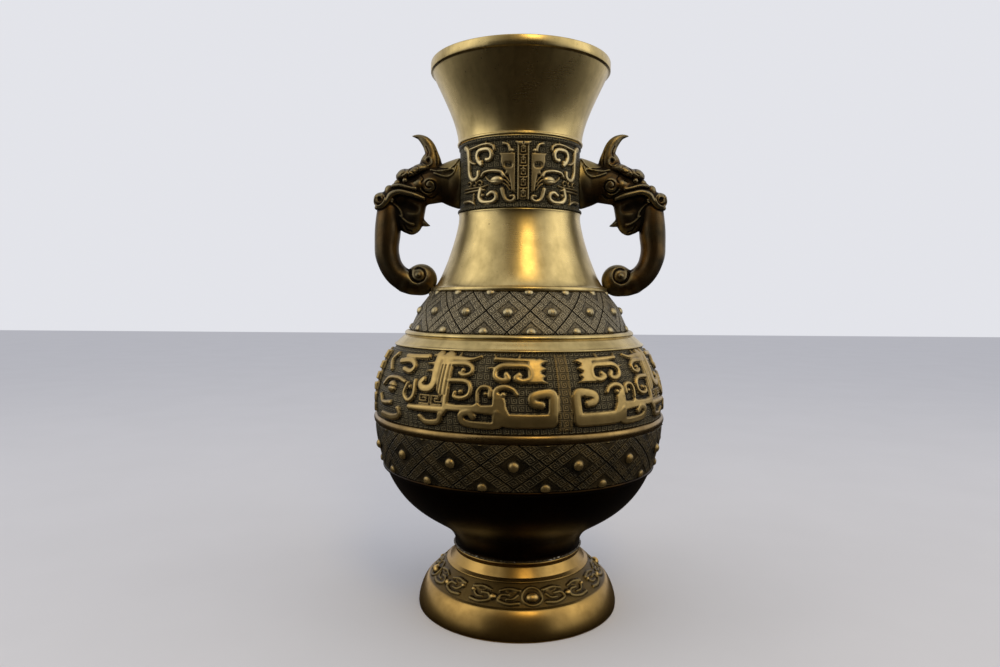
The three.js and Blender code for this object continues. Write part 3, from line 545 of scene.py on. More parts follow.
# %% [markdown]
# The finish needs the lattice too, so each point of a band also keeps its level: 0 in the
# middle of a lozenge and 1 or -1 at its upper and lower corner.

# %% Make the lozenge bands
def lozenge_band(name, node, profile, segments, phase, middle, half_height, boss):
    relief, v = lozenge_relief(profile, segments, middle, half_height, boss)
    piece = banded(name, profile, segments, phase, relief)
    rows = len(piece.data.vertices) // segments
    level = np.zeros((rows, segments))
    level[:len(profile)] = v
    keep_numbers(piece.data, "level", level)
    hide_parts(node)
    print(f"{name}: {len(piece.data.polygons)} faces")
    return piece


LOWER_TURN = -1.4
SHOULDER_TURN = -5.5


def make_lower_band():
    foot, top = SEAM["lower_lozenge_band"], SEAM["belly_ring"]
    low_r, top_r = BOWL_RIM_R - 0.8, RING_R - 2.4
    curve = bend([low_r, foot + 2.4], [low_r + 3, foot + 16], [top_r - 0.6, top - 20],
                 [top_r, top - 1])
    profile = evened(line([low_r, foot + BAND_GAP], curve, [top_r, top]), 72)
    boss = (5.2, 4.0, 0.6, 0)
    return lozenge_band("lower_band", "lower_lozenge_band", profile, 1216, LOWER_TURN,
                        26.6, 23.4, boss)


def make_shoulder_band():
    foot, top = SEAM["shoulder_lozenge_band"], SEAM["neck_cone"]
    low_r, top_r = reach_of("shoulder_lozenge_band"), NECK_RIM_R - 1.6
    profile = evened(line([low_r, foot + BAND_GAP], [low_r - 0.4, foot + 2.4],
                          [top_r + 12, foot + (top - foot) * 0.62],
                          [top_r, top - 0.6], [top_r - 0.4, top]), 78)
    boss = (4.9, 3.6, 1.9, 1)
    return lozenge_band("shoulder_band", "shoulder_lozenge_band", profile, 1152,
                        SHOULDER_TURN, 25.0, 22.6, boss)


lower_band = make_lower_band()
shoulder_band = make_shoulder_band()

# %% [markdown]
# ## The collar
# The band between the handles carries another mask, in finer straps. Its halves lie on each
# side of an upright column of square spirals. The column stands in front and behind.

# %% Draw the collar mask
COLLAR_TURN = 3
COLLAR_RISE = 2.5


def collar_mask(sheet, high):
    sheet.strap([[17.6, 65.8], [13.8, 64.4], [12.2, 60.8], [11.8, 58]], [3.4, 3.2], high)
    sheet.ball(10, 58.4, 2.5, high + 0.3)
    sheet.plate([[7, 56.2], [21.6, 56.6], [19.8, 52.4], [20.2, 47], [18.4, 41.4], [15.4, 37.6],
                 [16.4, 34.6], [12.8, 33.4], [11.4, 26], [10.4, 17], [7, 15]], high - 0.3)
    sheet.groove([[11.6, 43.8], [14.4, 44]], 7, 1.9)
    sheet.strap([[15.6, 46.4], [16.2, 42.8], [13.6, 40.8], [11.4, 42.6], [12.6, 44.8]], [1.5, 1.2],
                high - 0.7)
    for v in (21, 25, 29):
        sheet.strap([[17.4, v + 4], [14.4, v + 1.6], [11.6, v - 3]], [1.8, 1.4], high - 0.5)
    sheet.strap([[18.8, 19.4], [17.2, 12.6], [15, 8.4], [11, 6.8], [7.9, 8.8], [8.4, 12], [11, 12]],
                [4.4, 3.2], high)
    sheet.strap([[17.2, 33], [19.6, 36.8], [25, 38.4], [31, 38.6], [36.4, 37.2], [38.8, 33.8]],
                [4, 3.4], high + 0.3)
    sheet.ball(23.6, 28.6, 4.9, high + 1.2, 1.55)
    sheet.groove([[19.6, 27.4], [28.4, 28.2]], 1, 0.7)
    sheet.strap([[27.6, 26.4], [32, 29.4], [34.6, 33]], [3.2, 1.6], high - 0.3)
    sheet.strap([[39.4, 46.2], [42.8, 49.8], [44.6, 55], [42.6, 60], [37, 61.4], [31.4, 60.6],
                 [28.8, 56.4], [29.8, 51.4], [33.2, 50]], [5.2, 4.6], high + 0.2)
    sheet.ball(39.6, 48.6, 2.9, high + 0.3)
    sheet.ball(33.8, 50.6, 2.7, high + 0.3)
    sheet.strap([[54, 63.8], [46, 65], [38, 66.4], [31, 66.2], [27, 63.6], [26.2, 60]], [3.2, 3.6],
                high - 0.1)
    sheet.strap([[35, 66], [34, 69.4]], [3, 1], high - 0.4)
    sheet.strap([[61.4, 66.4], [57.2, 62.4], [55.6, 50], [55, 38.6], [51.6, 32.4], [46.8, 31.4],
                 [43.2, 34.4], [43, 38.8]], [6, 4.6], high + 0.1)
    sheet.strap([[56, 53], [51.4, 49.4], [46.8, 47.6]], [3.6, 2.6], high - 0.1)
    for u in (54.6, 47.8, 41):
        sheet.strap([[u + 2.6, 28.6], [u, 29.8], [u - 2.4, 27.8], [u - 1.6, 24.8], [u + 1, 25.6]],
                    [2, 1.6], high - 0.4)
    sheet.strap([[63, 22.4], [40, 22.8], [33, 24]], [2, 1.8], high - 0.4)
    sheet.strap([[63, 19.2], [50, 19.4], [36, 19.6]], [2.4, 2.4], high - 0.2)
    sheet.strap([[40.2, 20], [41.6, 12], [37.6, 7.2], [29.4, 6.4], [24.4, 9.8], [24.8, 14.8],
                 [28.6, 16.6], [32.4, 14]], [5.4, 4.2], high + 0.1)
    sheet.ball(38, 14, 2.2, high - 0.2)
    sheet.strap([[64, 9.6], [56, 9.6], [49.6, 7.6], [47.6, 5.2]], [4, 2.6], high)
    sheet.strap([[48.8, 8], [48.4, 16.4]], [2.8, 2.4], high - 0.2)


# %% [markdown]
# The column runs up between the mask's halves and widens at its top into a cap. It is
# worked out rather than drawn. Each square cell holds two square rings round its middle,
# which a short bar joins, and at this size they read as a spiral.

# %% The column of square spirals
def square_spirals(sheet, count, foot, top, half_width):
    """Half a column of raised square spirals, with its border and a flared cap."""
    sheet.strap([[4.5, foot], [4.5, top]], [1.4, 1.4], COLLAR_RISE)
    pitch = (top - foot) / count
    place = (sheet.y - foot) / pitch
    x = sheet.x / (half_width * sheet.scale)
    y = ((place % 1) - 0.5) * 2
    square = np.maximum(np.abs(x), np.abs(y))
    bar = (np.abs(x) < 0.24) & (y > 0)
    lines = np.where(bar, 1, np.clip((np.abs((square * 2) % 1 - 0.5) - 0.2) * 7, 0, 1))
    within = (sheet.x < half_width * sheet.scale) & (sheet.y > foot) & (sheet.y < top)
    sheet.height = np.where(within, 0.4 + (COLLAR_RISE - 0.7) * lines, sheet.height)
    sheet.plate([[0, top - 1.6], [5, top - 1.6], [7.8, top + 3], [0, top + 3]], COLLAR_RISE)


# %% Make the collar
def make_collar():
    foot, top = SEAM["neck_collar"], SEAM["mouth_cup"]
    bead = bend([BEAD_R - 1.6, foot + BAND_GAP], [BEAD_R + 0.3, foot + 0.4],
                [BEAD_R + 0.3, foot + 3.6], [BEAD_R - 1.8, foot + 4], 10)
    profile = evened(line(bead, [COLLAR_R, foot + 5], [COLLAR_R, top - 4.6],
                          [COLLAR_R + 1.2, top - 4.2], [COLLAR_R + 1.2, top - 0.2],
                          [COLLAR_R, top]), 116)
    segments = 768
    columns, count = mirrored_columns(segments, 2)
    sheet = Sheet(count, 90, profile[:, 1] - foot, math.radians(COLLAR_R), 1.08)
    collar_mask(sheet, COLLAR_RISE)
    square_spirals(sheet, 5, 8.4, 65, 3.6)
    piece = banded("collar_band", profile, segments, COLLAR_TURN, sheet.relief()[:, columns])
    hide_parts("neck_collar")
    print("collar:", len(piece.data.polygons), "faces")
    return piece


collar_band = make_collar()

# %% [markdown]
# ## The foot
# The foot is turned, with a bulging base and a dome, and between them a sloping relief
# band: four ringed oval bosses, with balls and hooks between them. An eighth of the band
# is drawn. Each point keeps a number that says where the casting is plain, because the
# plain parts are turned smooth and the relief is left rough.

# %% Draw the relief of the foot
FOOT_TURN = 10


def foot_scroll(sheet):
    sheet.ball(0, 10.4, 5.0, 5.2, 1.3)
    ring = [[6.6 * math.sin(t), 12 - 9.4 * math.cos(t)] for t in np.linspace(0, math.pi, 12)]
    sheet.strap(ring, [2.8, 2.8], 1.5)
    sheet.ball(25.5, 10.6, 3.1, 3, 1.2)
    sheet.ball(40.5, 14.6, 2.5, 2.6, 1.2)
    for turn in (0, 1):
        side = 1 - 2 * turn
        middle = 15.4 + 18.4 * turn
        sheet.strap([[middle - 6.6 * side, 5], [middle, 4], [middle + 6.4 * side, 7.4],
                     [middle + 5 * side, 13], [middle, 13.4]], [4, 3.2], 1.7)
        sheet.strap([[middle - 7.4 * side, 18], [middle, 19.8], [middle + 6 * side, 17.4]],
                    [4, 2.8], 1.7)
        sheet.strap([[middle - 6 * side, 13.4], [middle - 3 * side, 9.4], [middle + side, 9]],
                    [3.2, 2.6], 1.5)
        sheet.strap([[middle - 5 * side, 16.4], [middle - side, 16], [middle + 2 * side, 17]],
                    [2, 1.4], 0.9)


# %% Make the foot
def make_foot():
    low, top = 29.8, 48.4
    low_r, top_r = FOOT_R - 13.3, FOOT_R - 32.5
    base = bend([FOOT_R, 3.2], [FOOT_R, 12], [FOOT_R - 6, 27], [low_r + 2.8, low], 20)
    waist = low_of("lower_bowl")
    dome = bend([top_r + 1.6, top + 0.9], [top_r - 1.8, top + 3.5], [WAIST_R - 1.4, waist - 12],
                [WAIST_R, waist - 3.4], 16)
    plain_low = line([FOOT_R - 1.4, 0], [FOOT_R - 0.4, 0.5], base)
    band = evened(line([low_r + 0.6, low + 0.4], [top_r - 0.2, top + 0.2]), 34)
    plain_top = line(dome, [WAIST_R + 1.2, SEAM["lower_bowl"] - 2.2],
                     [WAIST_R + 1.6, SEAM["lower_bowl"]])
    profile = line(plain_low, band, plain_top)
    segments = 1104
    columns, count = mirrored_columns(segments, 4)
    slant = np.linspace(0, math.hypot(low_r - top_r, top - low), len(band))
    sheet = Sheet(count, 45, slant, math.radians((low_r + top_r) / 2))
    foot_scroll(sheet)
    relief = np.zeros((len(profile), segments))
    relief[len(plain_low):len(plain_low) + len(band)] = sheet.relief()[:, columns]
    inner = bend([FOOT_R - 6.8, 0], [FOOT_R - 5, 21], [WAIST_R + 6, top - 2],
                 [WAIST_R - 3, SEAM["lower_bowl"]], 12)[::-1]
    plain = np.ones((len(profile), 1))
    plain[len(plain_low):len(plain_low) + len(band)] = 0
    piece = turn_ring("foot_casting", profile, inner, segments, FOOT_TURN, relief,
                      hollow_of(relief))
    keep_numbers(piece.data, "plain", np.vstack([
        np.repeat(plain, segments, axis=1), np.ones((len(inner), segments))]))
    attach(piece, "root")
    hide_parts("foot")
    print("foot:", len(piece.data.polygons), "faces")
    return piece


foot_casting = make_foot()

# %% [markdown]
# ## The smooth rings
# The bowl, belly ring, shoulder moulding, neck and mouth were spun and then turned, so they
# are plain profiles with crisp little steps.

# %% Make the smooth rings
SMOOTH_SEGMENTS = 320


def plain_ring(name, node, outer, inner):
    piece = turn_ring(name, outer, inner, SMOOTH_SEGMENTS)
    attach(piece, "root")
    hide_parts(node)
    print(f"{name}: {len(piece.data.polygons)} faces")
    return piece


def make_bowl():
    foot, top = SEAM["lower_bowl"] + CLEARANCE, SEAM["lower_lozenge_band"]
    rim = top - 3.6
    flank = bend([WAIST_R - 0.2, foot + 4.4], [WAIST_R + 7, foot + 38],
                 [BOWL_RIM_R - 27, foot + 31], [BOWL_RIM_R - 3.2, rim], 60)
    lip = bend([BOWL_RIM_R - 1.4, rim + 0.3], [BOWL_RIM_R + 0.5, rim + 0.2],
               [BOWL_RIM_R + 0.4, top - 0.4], [BOWL_RIM_R - 1, top], 8)
    outer = line([WAIST_R + 0.6, foot], [WAIST_R - 0.2, foot + 1.4], flank, lip)
    return plain_ring("bowl", "lower_bowl", outer, inside_of(evened(flank, 20)))


def make_belly_bead():
    foot, top = SEAM["belly_ring"] + RING_GAP, SEAM["belly_mask_band"]
    outer = bend([RING_R - 2.4, foot], [RING_R + 0.8, foot + 1], [RING_R + 0.8, top - 1],
                 [RING_R - 2.4, top])
    inner = line([RING_R - 6, top], [RING_R - 6, foot])
    return plain_ring("belly_bead", "belly_ring", outer, inner)


def make_moulding():
    foot, top = SEAM["shoulder_moulding"] + RING_GAP, SEAM["shoulder_lozenge_band"]
    low_r = reach_of("shoulder_moulding")
    top_r = low_r - 11.4
    slope = bend([low_r - 2.6, foot + 3.2], [low_r - 5, foot + 6], [top_r + 4, top - 8.6],
                 [top_r + 1.8, top - 6.2], 10)
    nick = bend([top_r + 0.2, top - 5.4], [top_r - 0.6, top - 5.2], [top_r - 0.4, top - 4.9],
                [top_r, top - 4.4], 4)
    bead = bend([top_r + 0.4, top - 3.9], [top_r + 0.8, top - 2.8], [top_r + 0.4, top - 1.2],
                [top_r - 1.8, top], 8)
    outer = line([low_r - 0.5, foot], [low_r, foot + 0.5], [low_r, foot + 1.5],
                 [low_r - 0.4, foot + 1.9], [low_r - 1.6, foot + 2.5], slope, nick, bead)
    inner = line([top_r - 5, top], [low_r - 5, foot])
    return plain_ring("moulding", "shoulder_moulding", outer, inner)


# %% [markdown]
# The neck and the mouth are the two long sweeps of the outline. The neck's outline is kept
# by itself, because the handles are filed to it.

# %% The neck and the mouth
def neck_outline():
    """The neck's rim and sweep, from its seam up."""
    foot, top = SEAM["neck_cone"] + RING_GAP, SEAM["neck_collar"]
    step = foot + 5.2
    rim = bend([NECK_RIM_R - 1.2, foot], [NECK_RIM_R + 0.3, foot + 0.3],
               [NECK_RIM_R + 0.1, step - 1.2], [NECK_RIM_R - 1.2, step - 0.3], 10)
    sweep = bend([NECK_RIM_R - 4, step], [NECK_RIM_R - 13, step + 7], [NECK_R - 1.6, top - 16],
                 [NECK_R, top - 1.5], 60)
    return line(rim, [NECK_RIM_R - 3, step - 0.1], sweep, [NECK_R + 0.6, top])


def make_neck():
    outer = neck_outline()
    inner = inside_of(evened(outer[12:-1], 20))
    return plain_ring("neck", "neck_cone", outer, inner)


def make_mouth():
    foot = SEAM["mouth_cup"] + RING_GAP
    lip_low = LIP_TOP - 10.4
    bead = bend([BEAD_R - 1.2, foot], [BEAD_R + 0.8, foot + 0.2], [BEAD_R + 0.8, foot + 3],
                [NECK_R + 1, foot + 3.6], 10)
    flare = bend([NECK_R + 1, foot + 4.2], [NECK_R + 2.2, foot + 26], [LIP_R - 14.5, lip_low - 27],
                 [LIP_R - 2.2, lip_low - 0.2], 60)
    lip = line([LIP_R - 0.4, lip_low], [LIP_R, lip_low + 0.5], [LIP_R, lip_low + 5],
               [LIP_R, LIP_TOP - 1.2], [LIP_R - 0.35, LIP_TOP - 0.35], [LIP_R - 1.2, LIP_TOP])
    inner = line([LIP_R - 4.2, LIP_TOP], [LIP_R - 5, LIP_TOP - 0.5], [LIP_R - 5.4, LIP_TOP - 2],
                 inside_of(evened(flare, 24)))
    return plain_ring("mouth", "mouth_cup", line(bead, flare, lip), inner)


bowl = make_bowl()
belly_bead = make_belly_bead()
moulding = make_moulding()
neck = make_neck()
mouth = make_mouth()

# %% [markdown]
# ## Solder, disc and bolts
# Foot and bowl are soldered at the waist, and the solder still shows as a thin, lumpy line
# with bright specks. It is turned like the rings, with lumps from a sum of uneven waves.
# The loose disc inside the bowl and the handle bolts stay as the CAD has them.

# %% Make the solder line
def make_solder():
    foot = low_of("waist_solder")
    outer = bend([WAIST_R + 2.1, foot + 0.1], [WAIST_R + 2.0, foot + 0.9],
                 [WAIST_R + 1.2, foot + 1.6], [WAIST_R + 0.5, foot + 1.9], 8)
    inner = line([WAIST_R + 0.35, foot + 1.5], [WAIST_R + 0.35, foot + 0.1])
    segments = 720
    turn = np.arange(segments) * 2 * math.pi / segments
    lumps = sum(np.sin(turn * count + start)
                for count, start in ((17, 0.4), (41, 2.1), (67, 4.0), (113, 1.3)))
    across = np.sin(np.linspace(0, math.pi, len(outer)))
    lift = 0.2 * np.clip(lumps, -1.4, 1.8)[None, :] * across[:, None]
    piece = turn_ring("solder_line", outer, inner, segments, 0, lift)
    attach(piece, "root")
    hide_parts("waist_solder")
    print("solder:", len(piece.data.polygons), "faces")
    return piece


solder_line = make_solder()

# %% [markdown]
# ## The handles
# Each handle is one casting: a beast's head with a horn, brow, cheek curls and a chin
# spike, whose long lip drops in a trunk and curls back towards the neck. Such a form has no
# profile. It is modelled as clay: a field of distances on a fine grid, which is negative
# inside. Limbs are added with soft seams, hollows are cut, and fine lines are pressed into
# the skin. Then the zero surface is turned into a mesh. Both sides of the head are alike,
# so only one is worked and the field is mirrored.

# %% Clay to model with
OUTSIDE = 9.0
ANY_WIDTH = 99.0


class Clay:
    """Half a casting on a grid: out from the collar's wall, across, and up from its seam."""

    def __init__(self, low, high, cell):
        self.cell = cell
        self.low = np.array(low, float)
        axes = [np.arange(a, b, cell) for a, b in zip(low, high)]
        self.out, self.across, self.up = np.meshgrid(*axes, indexing="ij")
        self.field = np.full(self.out.shape, OUTSIDE)

    def near(self, low, high):
        """The part of the grid between two corners."""
        return tuple(slice(max(int((a - start) / self.cell), 0),
                           max(int((b - start) / self.cell) + 2, 1))
                     for a, b, start in zip(low, high, self.low))

    def limb_field(self, part, stations):
        """Distance to an oval limb. A station is out, up, half height, half width, across."""
        out, across, up = self.out[part], self.across[part], self.up[part]
        best = np.full(out.shape, OUTSIDE)
        for (o0, u0, h0, w0, s0), (o1, u1, h1, w1, s1) in zip(stations, stations[1:]):
            t, dx, dy = from_stretch(out, up, (o0, u0), (o1, u1))
            far = dx ** 2 + dy ** 2
            high, wide = h0 + t * (h1 - h0), w0 + t * (w1 - w0)
            side = (across - s0 - t * (s1 - s0)) ** 2
            scaled = np.sqrt(far / high ** 2 + side / wide ** 2)
            steep = np.sqrt(far / high ** 4 + side / wide ** 4) + 1e-6
            best = np.minimum(best, scaled * (scaled - 1) / steep)
        return best

    def prepared(self, stations, soft, steps):
        """The smooth run of a limb's stations, and the part of the grid that it can touch."""
        run = drawn_line([tuple(s) + (0,) * (5 - len(s)) for s in stations], steps)
        room = run[:, 2:4].max() + soft + 1
        low, high = run.min(axis=0) - room, run.max(axis=0) + room
        return run, self.near((low[0], -1, low[1]), (high[0], ANY_WIDTH, high[1]))

    def limb(self, stations, soft=1.5, steps=5):
        """Add a limb, with a seam as soft as a thumb would leave it."""
        run, part = self.prepared(stations, soft, steps)
        mine, other = self.field[part], self.limb_field(part, run)
        mix = np.clip(0.5 + 0.5 * (mine - other) / soft, 0, 1)
        self.field[part] = mine + (other - mine) * mix - soft * mix * (1 - mix)

    def ball(self, out, up, size, across=0.0, wide=None, soft=1.0):
        wide = size if wide is None else wide
        self.limb([(out, up, size, wide, across), (out + 0.01, up, size, wide, across)], soft, 1)

    def carve(self, stations, soft=0.8, steps=5):
        """Cut a hollow in the shape of a limb."""
        run, part = self.prepared(stations, soft, steps)
        mine, tool = self.field[part], -self.limb_field(part, run)
        mix = np.clip(0.5 - 0.5 * (mine - tool) / soft, 0, 1)
        self.field[part] = mine + (tool - mine) * mix + soft * mix * (1 - mix)

    def press(self, path, width, depth, beyond=2.0):
        """Press a line into the skin, seen from the side. A negative depth raises a line."""
        path = drawn_line(path, 6)
        low, high = path.min(axis=0) - width, path.max(axis=0) + width
        part = self.near((low[0], beyond, low[1]), (high[0], ANY_WIDTH, high[1]))
        out, side, up = self.out[part], self.across[part], self.up[part]
        far = np.full(out.shape, ANY_WIDTH)
        for start, end in zip(path, path[1:]):
            _, dx, dy = from_stretch(out, up, start, end)
            far = np.minimum(far, np.hypot(dx, dy))
        line_shape = np.clip(1 - (far / (width / 2)) ** 2, 0, 1) ** 1.5
        self.field[part] += depth * line_shape * np.clip((side - beyond) / 2, 0, 1)


# %% [markdown]
# The zero surface goes through every grid cell whose corners lie on both sides of it. Each
# such cell gets one point, at the mean of the places where the surface crosses its edges,
# and each crossed edge gets one face between the four cells around it.

# %% Turn a field into a skin
def skin_of(field, low, cell):
    """Points and quads of the field's zero surface."""
    inside = field < 0
    shape = np.array(field.shape) - 1
    corners = [(i, j, k) for i in (0, 1) for j in (0, 1) for k in (0, 1)]
    count = sum(inside[i:shape[0] + i, j:shape[1] + j, k:shape[2] + k].astype(int)
                for i, j, k in corners)
    cells = np.argwhere((count > 0) & (count < 8))
    number = np.full(shape, -1)
    number[tuple(cells.T)] = np.arange(len(cells))
    total, crossed = np.zeros((len(cells), 3)), np.zeros(len(cells))
    for corner in corners:
        for axis in range(3):
            if corner[axis]:
                continue
            step = np.eye(3, dtype=int)[axis]
            here, there = cells + corner, cells + corner + step
            a, b = field[tuple(here.T)], field[tuple(there.T)]
            cut = (a < 0) != (b < 0)
            t = np.where(cut, a / np.where(cut, a - b, 1), 0)[:, None]
            total += np.where(cut[:, None], corner + t * step, 0)
            crossed += cut
    points = low + cell * (cells + total / crossed[:, None])
    quads = []
    for axis in range(3):
        step = np.eye(3, dtype=int)[axis]
        span = np.array(field.shape) - step
        a, b = inside[:span[0], :span[1], :span[2]], inside[step[0]:, step[1]:, step[2]:]
        edges = np.argwhere(a != b)
        first, second = (axis + 1) % 3, (axis + 2) % 3
        side, other = np.eye(3, dtype=int)[first], np.eye(3, dtype=int)[second]
        beside, beyond = edges[:, first], edges[:, second]
        edges = edges[(beside > 0) & (beyond > 0)
                      & (beside < shape[first]) & (beyond < shape[second])]
        ring = [number[tuple((edges - shift).T)] for shift in (side + other, other, 0 * side, side)]
        faces = np.stack(ring, axis=1)
        inward = a[tuple(edges.T)]
        quads.append(np.where(inward[:, None], faces, faces[:, ::-1]))
    return points, np.vstack(quads)


# %% Look a field up, and blur it
def sampled(grid, places):
    """A grid's values at places between its points."""
    base = np.clip(np.floor(places).astype(int), 0, np.array(grid.shape) - 2)
    part = places - base
    value = np.zeros(len(places))
    for corner in ((i, j, k) for i in (0, 1) for j in (0, 1) for k in (0, 1)):
        weight = np.prod(np.where(np.array(corner) == 1, part, 1 - part), axis=1)
        value += weight * grid[tuple((base + corner).T)]
    return value


def blurred(field, times):
    """The field, blurred along its three axes."""
    for _ in range(times):
        for axis in range(3):
            field = (np.roll(field, 1, axis) + 2 * field + np.roll(field, -1, axis)) / 4
    return field


# %% [markdown]
# First the masses. The head runs out from the wall and tapers, the jaw hangs under it and
# ends in the chin spike, and the long lip drops in front as a trunk, which curls back.

# %% Model the head
def model_head(clay):
    arm = 35.0
    clay.limb([(-5, arm, 29, 17.5), (3, arm, 26.5, 15.4), (12, arm + 0.2, 23, 14.2),
               (20, arm - 0.4, 20.6, 13.4), (34, arm - 3.4, 19.4, 13.4), (46, arm - 7, 17.5, 13.4),
               (58, arm - 9.5, 15.2, 12.8), (70, arm - 13, 12.6, 11.8),
               (80, arm - 16.6, 9.6, 10.4)], 1)
    clay.limb([(50, 18, 13, 11), (53, 4, 13.4, 10.4), (54.4, -8, 12.4, 9.4),
               (54.8, -13.6, 8.6, 7.6)], 3)
    clay.limb([(48, -5.5, 5.8, 5.4), (42, -8.8, 3.8, 3.8), (37.6, -10.9, 2, 2.2),
               (34, -11.9, 0.5, 0.6)], 1.5)
    clay.limb([(66, 20, 11, 8.6), (66, 4, 10, 8.2), (64, -8, 8.6, 7.6), (61, -12, 7.4, 6.6)], 3)
    clay.limb([(80.4, 14, 11, 10), (80.8, 3, 13, 12), (81.4, -10, 14.2, 13),
               (81.9, -21, 14.5, 13.6), (82.8, -34, 13.7, 13.8), (82.4, -44, 13.6, 13.6),
               (79.2, -55, 13, 13.2), (74.8, -62.8, 12.9, 12.9), (69.4, -68.6, 13, 12.6),
               (61.4, -74, 13.2, 12.2)], 1.4, 6)


def model_curl(clay):
    clay.limb([(61.4, -74, 13.2, 12.2), (54, -75, 14.6, 12), (46, -73.2, 16.8, 11.6)], 1, 6)
    clay.ball(43.6, -72.4, 17.7, 0, 12.4, 1)
    clay.ball(46, -67.6, 6.4, 0, 13.2, 1)
    groove = [(58.8, -60.4), (55.6, -63.4), (54.2, -68.2), (51.6, -73), (46.4, -75.4),
              (40.8, -73.6), (38, -68.6), (39.4, -62.6), (44.6, -59.6), (49, -60.4)]
    clay.press(groove, 3.4, 1.5, 2)
    clay.press(groove[:5], 5.6, 0.9, 2)


# %% [markdown]
# Then the face. Brow, horn, snout, cheek bosses and rolled lips are added, the open mouth
# and the eye socket are carved out, and an eyeball is set in.

# %% Model the face
def model_face(clay):
    clay.limb([(38, 51, 6, 10), (45, 49.6, 7, 12.4), (51, 46, 7.4, 13.6), (57, 44, 7, 14.2),
               (62.4, 43.4, 7.6, 13.6), (66, 42, 6.2, 11)], 1)
    clay.ball(69, 34, 4.4, 6.4, 4.6, 1.4)
    clay.ball(72.6, 30.6, 3.6, 7.6, 3.8, 1)
    clay.limb([(33.4, 46, 14.4, 9), (33, 57, 12, 8), (31.9, 66, 7.8, 6.2), (34.9, 75.6, 6.6, 5),
               (39.4, 81.8, 5.4, 4.2), (45.2, 86, 3.2, 2.8), (50, 87.2, 1.8, 1.8),
               (54, 87.4, 0.5, 0.5)], 1.4)
    clay.ball(88.4, 15.8, 9.2, 1.4, 10.4, 1.2)
    clay.ball(78.6, 27, 5.6, 4.6, 5.4, 2)
    clay.limb([(92.6, 7.4, 2.8, 3.4, 6), (85.8, 8.6, 3, 3.6, 10), (79.6, 15.4, 3.2, 3.8, 11.4),
               (75.4, 21, 3.4, 3.8, 12), (67, 24, 3.2, 3.6, 12.4), (57.6, 22.4, 3.1, 3.4, 12.8),
               (48.6, 20, 2.8, 3.2, 13), (39, 16.6, 1.8, 2.4, 12.6)], 0.8)
    clay.limb([(74, 30.4, 2, 2.4, 10.8), (66, 31, 2.2, 2.8, 11.8), (57, 28.6, 2.2, 2.8, 12.6),
               (49, 27, 1.8, 2.4, 13)], 0.9)
    clay.ball(33, 31.4, 8.8, 10.8, 4.8, 1.6)
    clay.ball(46, 31, 6.4, 10.6, 4, 2.6)
    clay.carve([(66, 8.4, 6.4, 7.5, 15.5), (58, 7.4, 7.6, 7.5, 15.5), (49, 5, 5.6, 6.5, 15)], 2)
    clay.ball(75.6, 15.6, 3, 10.6, 3, 0.7)
    clay.press([(75, 12.6), (70, 8.6), (66, 4), (64, -2)], 3, -1.3, 4)
    clay.press([(66.6, -1.6), (61, -7), (56, -10.4), (51.6, -11.4)], 3, -1.2, 3)
    clay.press([(62, -12), (58.6, -17), (54, -18.6)], 2.4, 0.9, 2)
    clay.carve([(68, 36.6, 2.4, 4, 14.6), (60, 35.8, 3.6, 4.4, 15), (50, 38, 2.8, 4, 15)], 1)
    clay.ball(60.4, 36.6, 3, 10.8, 2.6, 0.5)


# %% [markdown]
# Last the fine lines: curls on the brow, the nostril and its rim, the spiral on the cheek,
# grooves on the horn, and the locks behind the head. Some are pressed in and some stand
# out, and all are worked from the side.

# %% Press the lines
def press_lines(clay):
    clay.carve([(63.6, 46.4, 2, 2.2, 15), (63.2, 46.4, 2, 2.2, 15)], 0.8)
    clay.carve([(49, 48.4, 1.8, 2.2, 15), (48.6, 48.4, 1.8, 2.2, 15)], 0.8)
    clay.press([(70.4, 42), (69, 50), (62.4, 50.4), (60.2, 45.4), (64, 42.6)], 2, 0.9, 4)
    clay.press([(57.4, 41), (56.4, 46), (53, 51)], 1.8, 0.9, 4)
    clay.press([(54, 46.4), (50, 44.4), (45.6, 46.6), (45.4, 51.4), (49.4, 52.6)], 1.6, 0.7, 4)
    clay.carve([(89.4, 16.8, 2.8, 3.4, 12.2), (89, 16, 3, 3.4, 12.2)], 0.8)
    clay.press([(93.4, 21.4), (95.4, 12.8), (90.4, 8.8), (84.6, 11.6), (83, 18), (86.8, 22.6)],
               2.6, -1.2, 4)
    turns = np.linspace(math.radians(-20), math.radians(-470), 16)
    curl = [(33 + r * math.cos(t), 31 + r * math.sin(t))
            for r, t in zip(np.linspace(9, 2.6, 16), turns)]
    clay.press(curl, 2.4, 1.3, 5)
    clay.press([(r + 1.2, u - 1.4) for r, u in curl[:9]], 1.8, -0.6, 5)
    clay.press([(44, 58), (37, 53.4), (31.6, 55.6), (31.4, 61), (35.6, 63.4), (38.4, 60.6)], 2,
               -0.7, 2)
    clay.carve([(35, 59.4, 2, 2.6, 8.4), (35.2, 58.8, 2, 2.6, 8.4)], 0.6)
    clay.press([(38, 75), (35.4, 69), (36.6, 64)], 1.8, 0.8, 1.5)
    clay.press([(27.6, 70), (25.6, 62), (25.4, 54)], 1.8, 0.8, 1.5)
    clay.press([(1.2, 58.6), (6.6, 51.6), (14, 49.4), (24, 51)], 2.2, 1.2, 5)
    clay.press([(32, 48.6), (22, 47.2), (13, 48.6), (6, 53), (2, 59)], 2.8, -1.3, 5)
    clay.press([(3.4, 52), (6.4, 44.6), (12.6, 40.6), (20, 41.8), (28, 45)], 2.8, -1.4, 5)
    clay.carve([(9, 46.6, 2.8, 2.2, 14.2), (16.6, 45.2, 2.6, 2.2, 14.6)], 1)
    clay.press([(43, 43), (40, 38.6), (42, 34)], 2, 0.9, 5)
    clay.press([(24, 22), (32, 17.6), (40, 21.6), (47, 24.6)], 2.2, 0.8, 5)


